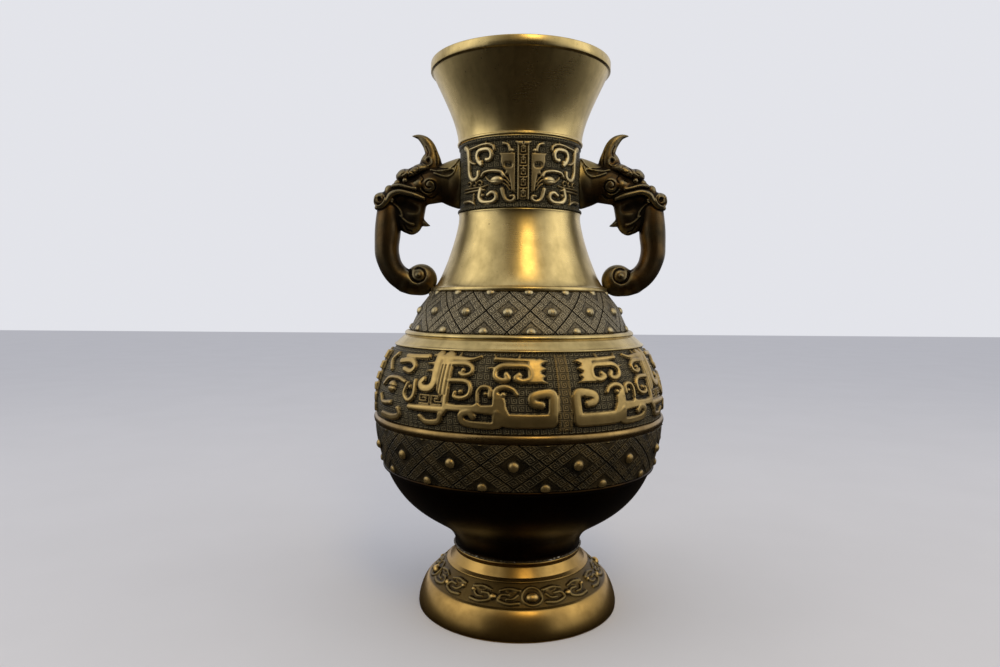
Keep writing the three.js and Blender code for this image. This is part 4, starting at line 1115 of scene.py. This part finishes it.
# %% [markdown]
# The seat is filed to the collar's wall and bead, and to the neck's sweep and rim where the
# curl comes close. The field is simply kept outside those radii, with a hair of clearance.
# The two halves of the head are then joined, with a shell of outside all round them, so
# that the skin is sure to close.

# %% File the seat and join the halves
CELL = 0.72
GRID_LOW = (-4, 0.5 * CELL, -93.5)
GRID_HIGH = (98.6, 19, 90.5)


def seated(clay):
    """The clay's field, kept outside the collar and the neck."""
    seam = SEAM["neck_collar"]
    from_axis = np.hypot(clay.out + COLLAR_R, clay.across)
    heights = clay.up + seam
    profile = line([NECK_RIM_R, SEAM["neck_cone"]], neck_outline()[10:],
                   [COLLAR_R, seam + 5], [COLLAR_R, seam + 90])
    order = np.argsort(profile[:, 1], kind="stable")
    seat = np.interp(heights, profile[order, 1], profile[order, 0]) + CLEARANCE
    by_bead = (heights > seam - 0.5) & (heights < seam + 4.6)
    bead = np.where(by_bead, BEAD_R + CLEARANCE, 0)
    return np.maximum(clay.field, np.maximum(seat, bead) - from_axis)


def joined(half):
    """Both halves of the field, closed all round."""
    whole = np.concatenate([half[:, ::-1], half], axis=1)
    for edge in (whole[0], whole[-1], whole[:, 0], whole[:, -1], whole[:, :, 0], whole[:, :, -1]):
        edge[:] = np.maximum(edge, 1)
    return whole


# %% [markdown]
# The skin's points are only about in place, so each one moves down the slope of the field
# by its own distance, once. What stands proud or lies hollow is read from the field as
# well: blurring it, a little and a lot, wears the ridges down and fills the hollows, and
# the difference says how much. One head is made, and the left one is the right one turned
# half round.

# %% Make the handles
def handle_skin():
    """Points from the collar's wall, their quads, and the numbers for the finish."""
    clay = Clay(GRID_LOW, GRID_HIGH, CELL)
    for step in (model_head, model_curl, model_face, press_lines):
        step(clay)
    half = seated(clay)
    whole = joined(half)
    low = np.array([clay.low[0], -(half.shape[1] - 0.5) * CELL, clay.low[2]])
    points, quads = skin_of(whole, low, CELL)
    places = (points - low) / CELL
    slope = [sampled(part, places) for part in np.gradient(whole, CELL)]
    steep = np.sqrt(sum(part ** 2 for part in slope)) + 1e-6
    points -= (sampled(whole, places) / steep)[:, None] * np.stack(slope, axis=1) / steep[:, None]
    clear = np.clip(whole, -6, 6)
    fine = sampled(blurred(clear, 6) - clear, (points - low) / CELL)
    bulge = fine + sampled(blurred(clear, 24) - clear, places)
    points[:, 0] = np.minimum(points[:, 0], REACH_R - COLLAR_R - 0.05)
    return points, quads, {"proud": np.clip(bulge / 0.8, 0, 1),
                           "hollow": np.clip(-bulge / 0.6, 0, 1)}


def make_handle(name, node, side, skin):
    points, quads, numbers = skin
    turned = np.column_stack([side * (points[:, 0] + COLLAR_R), side * points[:, 1],
                              points[:, 2] + SEAM["neck_collar"]])
    piece = piece_from(name, turned, quads, numbers)
    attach(piece, "root")
    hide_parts(node)
    print(f"{name}: {len(quads)} faces")
    return piece


skin = handle_skin()
handles = [make_handle("right_beast_handle", "right_handle", 1, skin),
           make_handle("left_beast_handle", "left_handle", -1, skin)]

# %% [markdown]
# ## Finishes
# Old brass isn't one colour. Where hands and cloths rub, it is bright, and in the hollows a
# brown-black patina stays, which the finishes deepen with painted shade. A finish is a tree
# of nodes. To keep the sums readable, a small class wraps a socket, so that `1 - proud * 2`
# builds its own Math nodes.

# %% A socket that can be reckoned with
def rgb(red, green, blue):
    """A colour as it is seen on a screen, turned into the light that a shader takes."""
    light = [((v / 255 + 0.055) / 1.055) ** 2.4 if v > 10 else v / 255 / 12.92
             for v in (red, green, blue)]
    return (*light, 1.0)


class Wire:
    """The output socket of a node, with the operators that make Math nodes."""

    def __init__(self, board, socket):
        self.board = board
        self.socket = socket

    def beside(self, out):
        """Another output of the same node."""
        return Wire(self.board, self.socket.node.outputs[out])

    def sum_of(self, operation, *values, clamp=False):
        return self.board.node("ShaderNodeMath", {"operation": operation, "use_clamp": clamp},
                               dict(enumerate(values)))

    def __add__(self, other):
        return self.sum_of("ADD", self, other)

    def __radd__(self, other):
        return self.sum_of("ADD", other, self)

    def __sub__(self, other):
        return self.sum_of("SUBTRACT", self, other)

    def __rsub__(self, other):
        return self.sum_of("SUBTRACT", other, self)

    def __mul__(self, other):
        return self.sum_of("MULTIPLY", self, other)

    def __rmul__(self, other):
        return self.sum_of("MULTIPLY", other, self)

    def __truediv__(self, other):
        return self.sum_of("DIVIDE", self, other)

    def size(self):
        return self.sum_of("ABSOLUTE", self)

    def part(self):
        """What is left after the whole number, from 0 to 1."""
        return self.sum_of("FRACT", self)

    def larger(self, other):
        return self.sum_of("MAXIMUM", self, other)

    def kept(self):
        """The value kept between 0 and 1."""
        return self.sum_of("ADD", self, 0.0, clamp=True)

    def step(self, low, high):
        """0 below low, 1 above high, and a smooth slope between them."""
        return self.board.node("ShaderNodeMapRange", {"interpolation_type": "SMOOTHSTEP"},
                               {0: self, 1: low, 2: high, 3: 0.0, 4: 1.0})


class Board:
    """The nodes of a material or of the world, laid out one by one."""

    def __init__(self, owner):
        owner.use_nodes = True
        self.tree = owner.node_tree
        self.tree.nodes.clear()

    def node(self, kind, settings=None, sockets=None, out=0):
        """Add a node: first its settings, then the values or links of its sockets."""
        made = self.tree.nodes.new(kind)
        for key, value in (settings or {}).items():
            setattr(made, key, value)
        for key, value in (sockets or {}).items():
            if isinstance(value, Wire):
                self.tree.links.new(value.socket, made.inputs[key])
            else:
                made.inputs[key].default_value = value
        return Wire(self, made.outputs[out]) if made.outputs else None


# %% [markdown]
# A finish knows the few things that every brass here needs: a mixed colour, a number from
# the mesh, a place in millimetres, soft clouds of noise, and the metal itself.

# %% A finish
class Finish(Board):
    """A material that is built node by node."""

    def __init__(self, name):
        self.material = bpy.data.materials.new(name)
        super().__init__(self.material)

    def mixed(self, part, first, second):
        """A colour between two others."""
        return self.node("ShaderNodeMix", {"data_type": "RGBA"}, {0: part, 6: first, 7: second}, 2)

    def number(self, name):
        """A number that each point of the mesh keeps."""
        return self.node("ShaderNodeAttribute", {"attribute_name": name}, out=2)

    def place(self):
        """The place on the vase in millimetres."""
        spot = self.node("ShaderNodeTexCoord", out=3)
        return self.node("ShaderNodeVectorMath", {"operation": "SCALE"}, {0: spot, 3: 1 / MM})

    def axes(self, place):
        """The three numbers of a place."""
        split = self.node("ShaderNodeSeparateXYZ", None, {0: place})
        return [split.beside(k) for k in range(3)]

    def cloud(self, spot, size_mm, detail=3.0, rough=0.55):
        """Soft, uneven patches of a given size, from 0 to 1."""
        sockets = {"Vector": spot, "Scale": 1 / size_mm, "Detail": detail, "Roughness": rough}
        return self.node("ShaderNodeTexNoise", None, sockets)

    def spread(self, spot, x, y, z):
        """A place squeezed differently along its three axes."""
        return self.node("ShaderNodeVectorMath", {"operation": "MULTIPLY"}, {0: spot, 1: (x, y, z)})

    def metal(self, colour, roughness, bumps, metallic=1.0, shine=0.5):
        """The brass shader, with any number of (height, strength, depth in mm) bumps."""
        normal = None
        for height, strength, depth in bumps:
            sockets = {"Strength": strength, "Distance": depth * MM, "Height": height}
            if normal is not None:
                sockets["Normal"] = normal
            normal = self.node("ShaderNodeBump", None, sockets)
        sockets = {"Base Color": colour, "Roughness": roughness, "Metallic": metallic,
                   "Specular IOR Level": shine}
        if normal is not None:
            sockets["Normal"] = normal
        surface = self.node("ShaderNodeBsdfPrincipled", None, sockets)
        self.node("ShaderNodeOutputMaterial", None, {"Surface": surface})
        return self.material


# %% [markdown]
# ### Satin brass
# The plain rings were turned on a lathe and rubbed with a cloth for years. Fine turning
# marks run round them, the metal is mottled olive, and small dark specks of tarnish sit
# here and there. The marks are noise that changes fast with height and hardly round the
# ring. The lower bowl has the same marks on a nearly black colour, which is painted shade:
# the bowl is coloured as if it reflected a dark floor. The foot has them where it is plain.
# Its relief is rough and darker, with bosses that were rubbed bright.

# %% Satin brass, the dark bowl and the foot
BRASS = rgb(206, 182, 122)
OLIVE = rgb(140, 122, 76)
BROWN = rgb(74, 58, 34)
BLACK = rgb(30, 26, 20)


def turning_marks(finish, spot):
    coarse = finish.cloud(finish.spread(spot, 0.01, 0.01, 1.3), 1.0, 2.0)
    fine = finish.cloud(finish.spread(spot, 0.02, 0.02, 4.5), 1.0, 2.0)
    return coarse * 0.5 + fine * 0.5


def tarnish_specks(finish, spot, size_mm, amount):
    return finish.cloud(spot, size_mm, 2.0, 0.5).step(amount, amount + 0.05)


def satin_brass(name, brass, olive):
    finish = Finish(name)
    spot = finish.place()
    marks = turning_marks(finish, spot)
    mottle = finish.cloud(spot, 30.0, 4.0, 0.6).step(0.32, 0.72)
    streaks = finish.cloud(finish.spread(spot, 1.0, 1.0, 0.12), 9.0, 3.0).step(0.4, 0.75)
    specks = tarnish_specks(finish, spot, 2.6, 0.7) * finish.cloud(spot, 60.0).step(0.45, 0.6)
    colour = finish.mixed(mottle * 0.5 + streaks * 0.25, brass, olive)
    colour = finish.mixed(specks * 0.7, colour, BROWN)
    roughness = marks * 0.1 + mottle * 0.08 + 0.22
    bumps = [(marks, 0.25, 0.05), (finish.cloud(spot, 14.0), 0.12, 0.3)]
    return finish.metal(colour, roughness, bumps)


def dark_bowl():
    finish = Finish("dark_bowl")
    spot = finish.place()
    marks = turning_marks(finish, spot)
    worn = finish.cloud(spot, 40.0, 4.0, 0.6).step(0.4, 0.75)
    # Painted shade: the near-black colour stands in for the reflection of a dark floor.
    colour = finish.mixed(worn * 0.6 + marks * 0.2, rgb(30, 20, 8), rgb(62, 42, 16))
    return finish.metal(colour, marks * 0.1 + 0.3, [(marks, 0.25, 0.05)])


def foot_brass():
    finish = Finish("foot_brass")
    spot = finish.place()
    plain = finish.number("plain")
    proud = finish.number("proud").step(0.5, 1.5)
    boss = finish.number("proud").step(1.9, 2.6)
    hollow = finish.number("hollow").step(0.05, 0.7)
    marks = turning_marks(finish, spot) * plain
    mottle = finish.cloud(spot, 24.0, 4.0, 0.6).step(0.35, 0.75)
    grit = finish.cloud(spot, 1.6, 3.0, 0.7)
    smooth_colour = finish.mixed(mottle * 0.55, rgb(172, 138, 76), rgb(112, 86, 44))
    rough = finish.mixed(grit, rgb(70, 54, 26), rgb(104, 84, 46))
    worked = finish.mixed(proud, rough, rgb(126, 106, 64))
    worked = finish.mixed(boss, worked, rgb(206, 170, 100))
    # The hollows go towards black: patina and painted shade.
    colour = finish.mixed(plain, finish.mixed(hollow * 0.7, worked, BLACK), smooth_colour)
    roughness = marks * 0.1 + (1 - plain) * 0.18 + mottle * 0.08 + 0.24
    return finish.metal(colour, roughness, [(marks, 0.25, 0.05), (grit * (1 - plain), 0.5, 0.25)])


# %% [markdown]
# ### Relief bronze
# The cast bands are bright on their high places and grey-brown in the ground. The ground
# carries a fine thunder pattern of square spirals. Angle and height give each point its
# cell, and inside a cell a spiral is a wave of the square distance from the middle, turned
# once for each line. The pattern stops where a point is marked as inside the ring.

# %% Relief bronze
FRET_MM = 7.0
SPIRAL_TURNS = 2.0


def square_spiral(finish, across, up):
    """1 on the raised line of the spiral in each cell, and 0 in the groove beside it."""
    x, y = across.part() * 2 - 1, up.part() * 2 - 1
    square = x.size().larger(y.size())
    turn = finish.node("ShaderNodeMath", {"operation": "ARCTAN2"}, {0: y, 1: x}) / (2 * math.pi)
    wave = (square * SPIRAL_TURNS + turn).part()
    return ((wave - 0.5).size() * 4 - 0.6).kept() * (square * -9 + 8.7).kept()


def angle_round(finish, x, y):
    """How far round the vase a point lies from its front, in turns from -0.5 to 0.5."""
    return finish.node("ShaderNodeMath", {"operation": "ARCTAN2"}, {0: x, 1: 0 - y}) / (2 * math.pi)


def outside_of(finish):
    """1 on the outside of a ring, and 0 on the points that are marked as inside."""
    return finish.number("proud").step(0.6 * INNER_MARK, 0.2 * INNER_MARK)


def relief_bronze(name, cells_round, foot, rise, tones):
    """Straps and plates on a fret ground. Tones: ground, fret line, raised and rubbed."""
    ground_tone, line_tone, raised_tone, rubbed_tone = tones
    finish = Finish(name)
    spot = finish.place()
    x, y, z = finish.axes(spot)
    around = angle_round(finish, x, y) * cells_round
    fret = square_spiral(finish, around, (z - foot) / FRET_MM) * outside_of(finish)
    proud = finish.number("proud") / rise
    ground = 1 - proud.step(0.38, 0.62)
    strip = proud.step(0.14, 0.26)
    bright = proud.step(0.8, 1.02)
    hollow = finish.number("hollow").step(0.15, 1.0)
    mottle = finish.cloud(spot, 22.0, 4.0, 0.6).step(0.35, 0.7)
    grit = finish.cloud(spot, 1.3, 3.0, 0.7)
    worn = finish.cloud(spot, 5.0, 3.0, 0.6).step(0.3, 0.7)
    lines = fret * (worn * 0.45 + 0.5) + grit * 0.2
    ground_colour = finish.mixed(lines.kept(), ground_tone, line_tone)
    ground_colour = finish.mixed(strip * lines.kept(), ground_colour, raised_tone)
    raised = finish.mixed(mottle * 0.45 + worn * 0.25, raised_tone, rgb(112, 94, 56))
    colour = finish.mixed(ground, raised, ground_colour)
    colour = finish.mixed(bright * (1 - mottle * 0.5) * 0.7, colour, rubbed_tone)
    # The hollows go towards near black: patina and painted shade.
    colour = finish.mixed(hollow * 0.85, colour, rgb(24, 21, 15))
    roughness = ground * 0.2 + worn * 0.1 + 0.32
    bumps = [(fret * ground, 1.0, 0.5), (grit, 0.25, 0.15)]
    return finish.metal(colour, roughness, bumps, 0.92)


# %% [markdown]
# On a lozenge band the fret is slanted, in line with the lattice. The mesh keeps a point's
# level in its lozenge, and the angle gives the other number. Their sum and difference run
# along the lattice's own two directions, and lie at odd whole numbers on the sunk lines.
# Four spirals lie along each side of a lozenge, and the panel in its middle has none.

# %% Lozenge bronze
def lozenge_bronze(name, phase, size_mm, tones):
    """Plates with a slanted fret. Tones: ground, fret line, raised and rubbed."""
    ground_tone, line_tone, raised_tone, rubbed_tone = tones
    finish = Finish(name)
    spot = finish.place()
    x, y, _ = finish.axes(spot)
    u = (angle_round(finish, x, y) - phase / 360) * LOZENGES * 2
    level = finish.number("level")
    first, second = u + level, u - level
    from_first = (((first + 1) / 2).part() * 2 - 1).size()
    from_second = (((second + 1) / 2).part() * 2 - 1).size()
    inward = from_first.larger(from_second)
    outside = outside_of(finish)
    off_panel = inward.step(PANEL + 0.02, PANEL + 0.05)
    fret = square_spiral(finish, first * 2, second * 2) * off_panel * outside
    sunk = (1 - ((1 - inward) * size_mm).step(0.3, 0.75)) * outside
    border = (1 - ((inward - PANEL) * size_mm).size().step(0.15, 0.55)) * outside
    boss = finish.number("proud").step(1.2, 2.0)
    hollow = finish.number("hollow").step(0.15, 0.9)
    mottle = finish.cloud(spot, 22.0, 4.0, 0.6).step(0.35, 0.7)
    worn = finish.cloud(spot, 4.0, 3.0, 0.6).step(0.35, 0.7)
    grit = finish.cloud(spot, 1.1, 3.0, 0.7)
    pale = fret * (0.5 + worn * 0.4) + grit.step(0.42, 0.66) * 0.45
    plates = finish.mixed(pale.kept(), ground_tone, line_tone)
    colour = finish.mixed(mottle * 0.25, plates, raised_tone)
    knob = finish.mixed(mottle * 0.6 + 0.2, rubbed_tone, raised_tone)
    colour = finish.mixed(boss, colour, knob)
    colour = finish.mixed(sunk.larger(border * 0.7) * (1 - boss), colour, rgb(24, 20, 14))
    # The hollows go towards black: patina and painted shade.
    colour = finish.mixed(hollow * 0.5, colour, BLACK)
    roughness = 0.5 - boss * 0.16 + worn * 0.08
    lines = sunk.larger(border * 0.6)
    bumps = [(fret, 1.0, 0.5), (1 - lines, 1.0, 0.6), (grit, 0.5, 0.3)]
    return finish.metal(colour, roughness, bumps, 0.9)


# %% [markdown]
# ### Handles, solder and steel
# The handles keep a darker brown, with patches worn to a warmer one. The open mouth is
# nearly black, a painted shade, and the head's root by the collar is paler brass. Both are
# found by their place on the vase, out and up. The hollows are darkened, for patina and
# painted shade. The solder is brown and lumpy with pale specks. The bolts are plain steel
# with a trace of rust.

# %% Handle bronze, solder and steel
MOUTH_SHADE_OUT, MOUTH_SHADE_UP = 127, 437
MOUTH_SHADE_WIDE, MOUTH_SHADE_HIGH = 15, 16


def handle_bronze():
    finish = Finish("handle_bronze")
    spot = finish.place()
    x, _, z = finish.axes(spot)
    # The mouth's painted shade: a soft oval round the open mouth, found by its place.
    across, high = (x.size() - MOUTH_SHADE_OUT) / MOUTH_SHADE_WIDE, (z - MOUTH_SHADE_UP) / MOUTH_SHADE_HIGH
    mouth = 1 - (across * across + high * high).step(0.5, 1.2)
    root = (1 - x.size().step(76, 94)) * z.step(462, 494)
    proud = finish.number("proud").step(0.2, 0.9)
    hollow = finish.number("hollow").step(0.08, 0.7)
    mottle = finish.cloud(spot, 14.0, 4.0, 0.6).step(0.35, 0.72)
    grit = finish.cloud(spot, 1.2, 3.0, 0.65)
    worn = finish.cloud(spot, 30.0, 2.0).step(0.45, 0.65)
    colour = finish.mixed(mottle, rgb(76, 60, 36), rgb(46, 38, 25))
    colour = finish.mixed(worn * 0.35, colour, rgb(104, 74, 38))
    colour = finish.mixed(proud * 0.65, colour, rgb(138, 126, 94))
    colour = finish.mixed(root * (mottle * 0.4 + 0.5), colour, rgb(156, 138, 90))
    # The hollows go towards black: patina and painted shade.
    colour = finish.mixed(hollow * 0.9, colour, rgb(22, 17, 12))
    # Painted shade in the open mouth, a little lighter on its proud parts.
    colour = finish.mixed(mouth * (1 - proud * 0.5) * 0.8, colour, rgb(24, 20, 14))
    roughness = mottle * 0.1 + hollow * 0.15 + mouth * 0.15 + 0.32
    bumps = [(grit, 0.3, 0.12), (finish.cloud(spot, 5.0), 0.25, 0.3)]
    return finish.metal(colour, roughness, bumps, 0.97)


def solder_metal():
    finish = Finish("solder")
    spot = finish.place()
    lumps = finish.cloud(spot, 1.6, 3.0, 0.6)
    bright = finish.cloud(spot, 6.0, 2.0).step(0.58, 0.7)
    colour = finish.mixed(bright, rgb(70, 60, 42), rgb(196, 188, 168))
    return finish.metal(colour, lumps * 0.2 + 0.35, [(lumps, 0.7, 0.4)], 0.95)


def bolt_steel():
    finish = Finish("bolt_steel")
    spot = finish.place()
    rust = finish.cloud(spot, 3.0, 4.0, 0.6).step(0.5, 0.75)
    colour = finish.mixed(rust * 0.6, rgb(150, 148, 142), rgb(112, 72, 44))
    return finish.metal(colour, rust * 0.3 + 0.35, [(finish.cloud(spot, 0.6), 0.3, 0.08)], 0.95)


# %% [markdown]
# Each band gets its own four tones: ground, fret line, raised and rubbed. The belly is warm,
# the collar's high places are the palest, the shoulder band is grey, and the lower band is
# the darkest.

# %% Put the finishes on
BELLY_TONES = (rgb(36, 32, 24), rgb(142, 130, 98), rgb(148, 124, 76), rgb(198, 168, 104))
COLLAR_TONES = (rgb(34, 31, 23), rgb(124, 115, 88), rgb(146, 126, 84), rgb(222, 202, 150))
LOWER_TONES = (rgb(30, 25, 16), rgb(94, 84, 60), rgb(140, 116, 70), rgb(170, 144, 90))
SHOULDER_TONES = (rgb(48, 43, 33), rgb(178, 166, 136), rgb(158, 142, 108), rgb(190, 174, 130))
BELLY_CELLS, COLLAR_CELLS = 144, 60
LOWER_SIZE, SHOULDER_SIZE = 18.5, 15.5


def dress(piece, material):
    piece.data.materials.clear()
    piece.data.materials.append(material)


brass = satin_brass("satin_brass", BRASS, OLIVE)
for piece in (moulding, neck, mouth):
    dress(piece, brass)
# The belly bead gets a darker copy of the satin brass, which is painted shade.
dress(belly_bead, satin_brass("shaded_satin_brass", rgb(158, 130, 80), rgb(96, 76, 42)))
painted_shade_bowl_finish = dark_bowl()
dress(bowl, painted_shade_bowl_finish)
dress(foot_casting, foot_brass())
dress(belly_band, relief_bronze("belly_bronze", BELLY_CELLS, SEAM["belly_mask_band"],
                                BELLY_RISE, BELLY_TONES))
dress(collar_band, relief_bronze("collar_bronze", COLLAR_CELLS, SEAM["neck_collar"],
                                 COLLAR_RISE, COLLAR_TONES))
dress(lower_band, lozenge_bronze("lower_lozenge_bronze", LOWER_TURN,
                                 LOWER_SIZE, LOWER_TONES))
dress(shoulder_band, lozenge_bronze("shoulder_lozenge_bronze", SHOULDER_TURN,
                                    SHOULDER_SIZE, SHOULDER_TONES))
handle_finish = handle_bronze()
for piece in handles:
    dress(piece, handle_finish)
dress(solder_line, solder_metal())
steel = bolt_steel()
for node, cad_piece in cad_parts.items():
    if node.endswith("_bolt"):
        dress(cad_piece, steel)
dress(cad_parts["floor_disc"], painted_shade_bowl_finish)
print("finishes:", [material.name for material in bpy.data.materials])

# %% [markdown]
# ## Floor, light and camera
# A plain pale floor carries the vase and its shadow. The world is a pale room. Brass shows
# what surrounds it, so the room is what lights it best, with one warm lamp high in front
# and a wide soft box at each side. Cards give the rounded metal dark places between the
# bright ones: a dark sheet over the floor, a dark card low in front and a grey one above
# it. Only reflections see the cards. The camera doesn't, and they throw no shadow.

# %% Floor and cards
CARD_FRONT = -1.7
UNSEEN_RAYS = ("camera", "diffuse", "shadow", "transmission", "volume_scatter")


def lying(half, height):
    """The corners of a sheet that lies flat."""
    return [(-half, -half, height), (half, -half, height), (half, half, height),
            (-half, half, height)]


def standing(half, low, high):
    """The corners of a card that stands in front of the vase."""
    return [(-half, CARD_FRONT, low), (half, CARD_FRONT, low),
            (half, CARD_FRONT, high), (-half, CARD_FRONT, high)]


def card(name, corners, material, seen=False):
    """A flat sheet in the studio, from four corners in metres."""
    mesh = bpy.data.meshes.new(name)
    mesh.from_pydata(corners, [], [(0, 1, 2, 3)])
    sheet = bpy.data.objects.new(name, mesh)
    bpy.context.scene.collection.objects.link(sheet)
    for ray in UNSEEN_RAYS:
        setattr(sheet, "visible_" + ray, seen)
    dress(sheet, material)


def plain_paint(name, colour, roughness):
    finish = Finish(name)
    uneven = finish.cloud(finish.place(), 180.0, 3.0)
    shade = finish.mixed(uneven * 0.1, colour, rgb(150, 150, 150))
    return finish.metal(shade, roughness, [], 0.0, 0.0)


floor_paint = plain_paint("floor_paint", rgb(226, 226, 230), 0.75)
dark_paint = plain_paint("dark_card_paint", rgb(34, 27, 19), 0.9)
grey_paint = plain_paint("grey_card_paint", rgb(142, 134, 120), 0.9)
card("floor", lying(6, 0), floor_paint, seen=True)
card("dark_cloth", lying(2.5, 0.001), dark_paint)
card("low_card", standing(1.4, 0.0, 1.15), dark_paint)
card("high_card", standing(0.95, 1.15, 2.8), grey_paint)
print("stage: a floor and three cards")

# %% [markdown]
# The room is a little brighter where the camera or a reflection sees it than as soft light
# on the vase. The lamps are weak, because the room already does most of the work.

# %% World and lamps
ROOM_LIGHT = 0.72
ROOM_SEEN = 0.9


def light_room():
    world = bpy.data.worlds.new("pale_room")
    bpy.context.scene.world = world
    room = Board(world)
    ray = room.node("ShaderNodeLightPath", out="Is Camera Ray")
    seen = ray.larger(ray.beside("Is Glossy Ray")).larger(ray.beside("Is Transmission Ray"))
    strength = room.node("ShaderNodeMapRange", None, {0: seen, 3: ROOM_LIGHT, 4: ROOM_SEEN})
    sky = room.node("ShaderNodeBackground", None, {"Color": rgb(238, 239, 245),
                                                   "Strength": strength})
    room.node("ShaderNodeOutputWorld", None, {"Surface": sky})


def lamp(name, place, aim, width, height, watts, colour):
    light = bpy.data.lights.new(name, "AREA")
    light.shape = "RECTANGLE"
    light.size, light.size_y = width, height
    light.energy = watts
    light.color = colour[:3]
    body = bpy.data.objects.new(name, light)
    bpy.context.scene.collection.objects.link(body)
    body.location = place
    way = Vector(aim) - Vector(place)
    body.rotation_euler = way.to_track_quat("-Z", "Y").to_euler()


light_room()
lamp("warm_lamp", (0.4, -1.4, 1.75), (0, 0, 0.35), 0.55, 0.85, 7, rgb(255, 226, 160))
for side in (-1, 1):
    lamp("side_box", (side * 1.9, -0.5, 1.35), (0, 0, 0.4), 1.3, 1.7, 6, rgb(255, 252, 244))
print("lamps:", [light.name for light in bpy.data.lights])

# %% [markdown]
# The camera stands a little above the middle of the vase, at 1.34 times its height, and
# looks down by almost three degrees. It is turned one and a half degrees aside, and tilted
# by a third of a degree. Its focal length is given in pixels of a picture 1000 wide.

# %% Camera and closing
SENSOR_MM = 36.0
FOCAL_PX = 713.0
PICTURE_PX = 1000
CAMERA_AT = (0, -0.80405, 0.3438)
TURNED_ASIDE, LOOKING_DOWN, TILTED = 1.502, 2.877, 0.33


def turn_about(axis, degrees):
    return Matrix.Rotation(math.radians(degrees), 4, axis)


def set_camera():
    data = bpy.data.cameras.new("camera")
    data.sensor_width = SENSOR_MM
    data.sensor_fit = "HORIZONTAL"
    data.lens = SENSOR_MM * FOCAL_PX / PICTURE_PX
    camera = bpy.data.objects.new("camera", data)
    bpy.context.scene.collection.objects.link(camera)
    turn = turn_about("Z", TURNED_ASIDE) @ turn_about("X", 90 - LOOKING_DOWN)
    turn = turn @ turn_about("Z", TILTED)
    camera.matrix_world = Matrix.Translation(CAMERA_AT) @ turn
    bpy.context.scene.camera = camera


set_camera()
bpy.context.scene.view_settings.view_transform = "Standard"
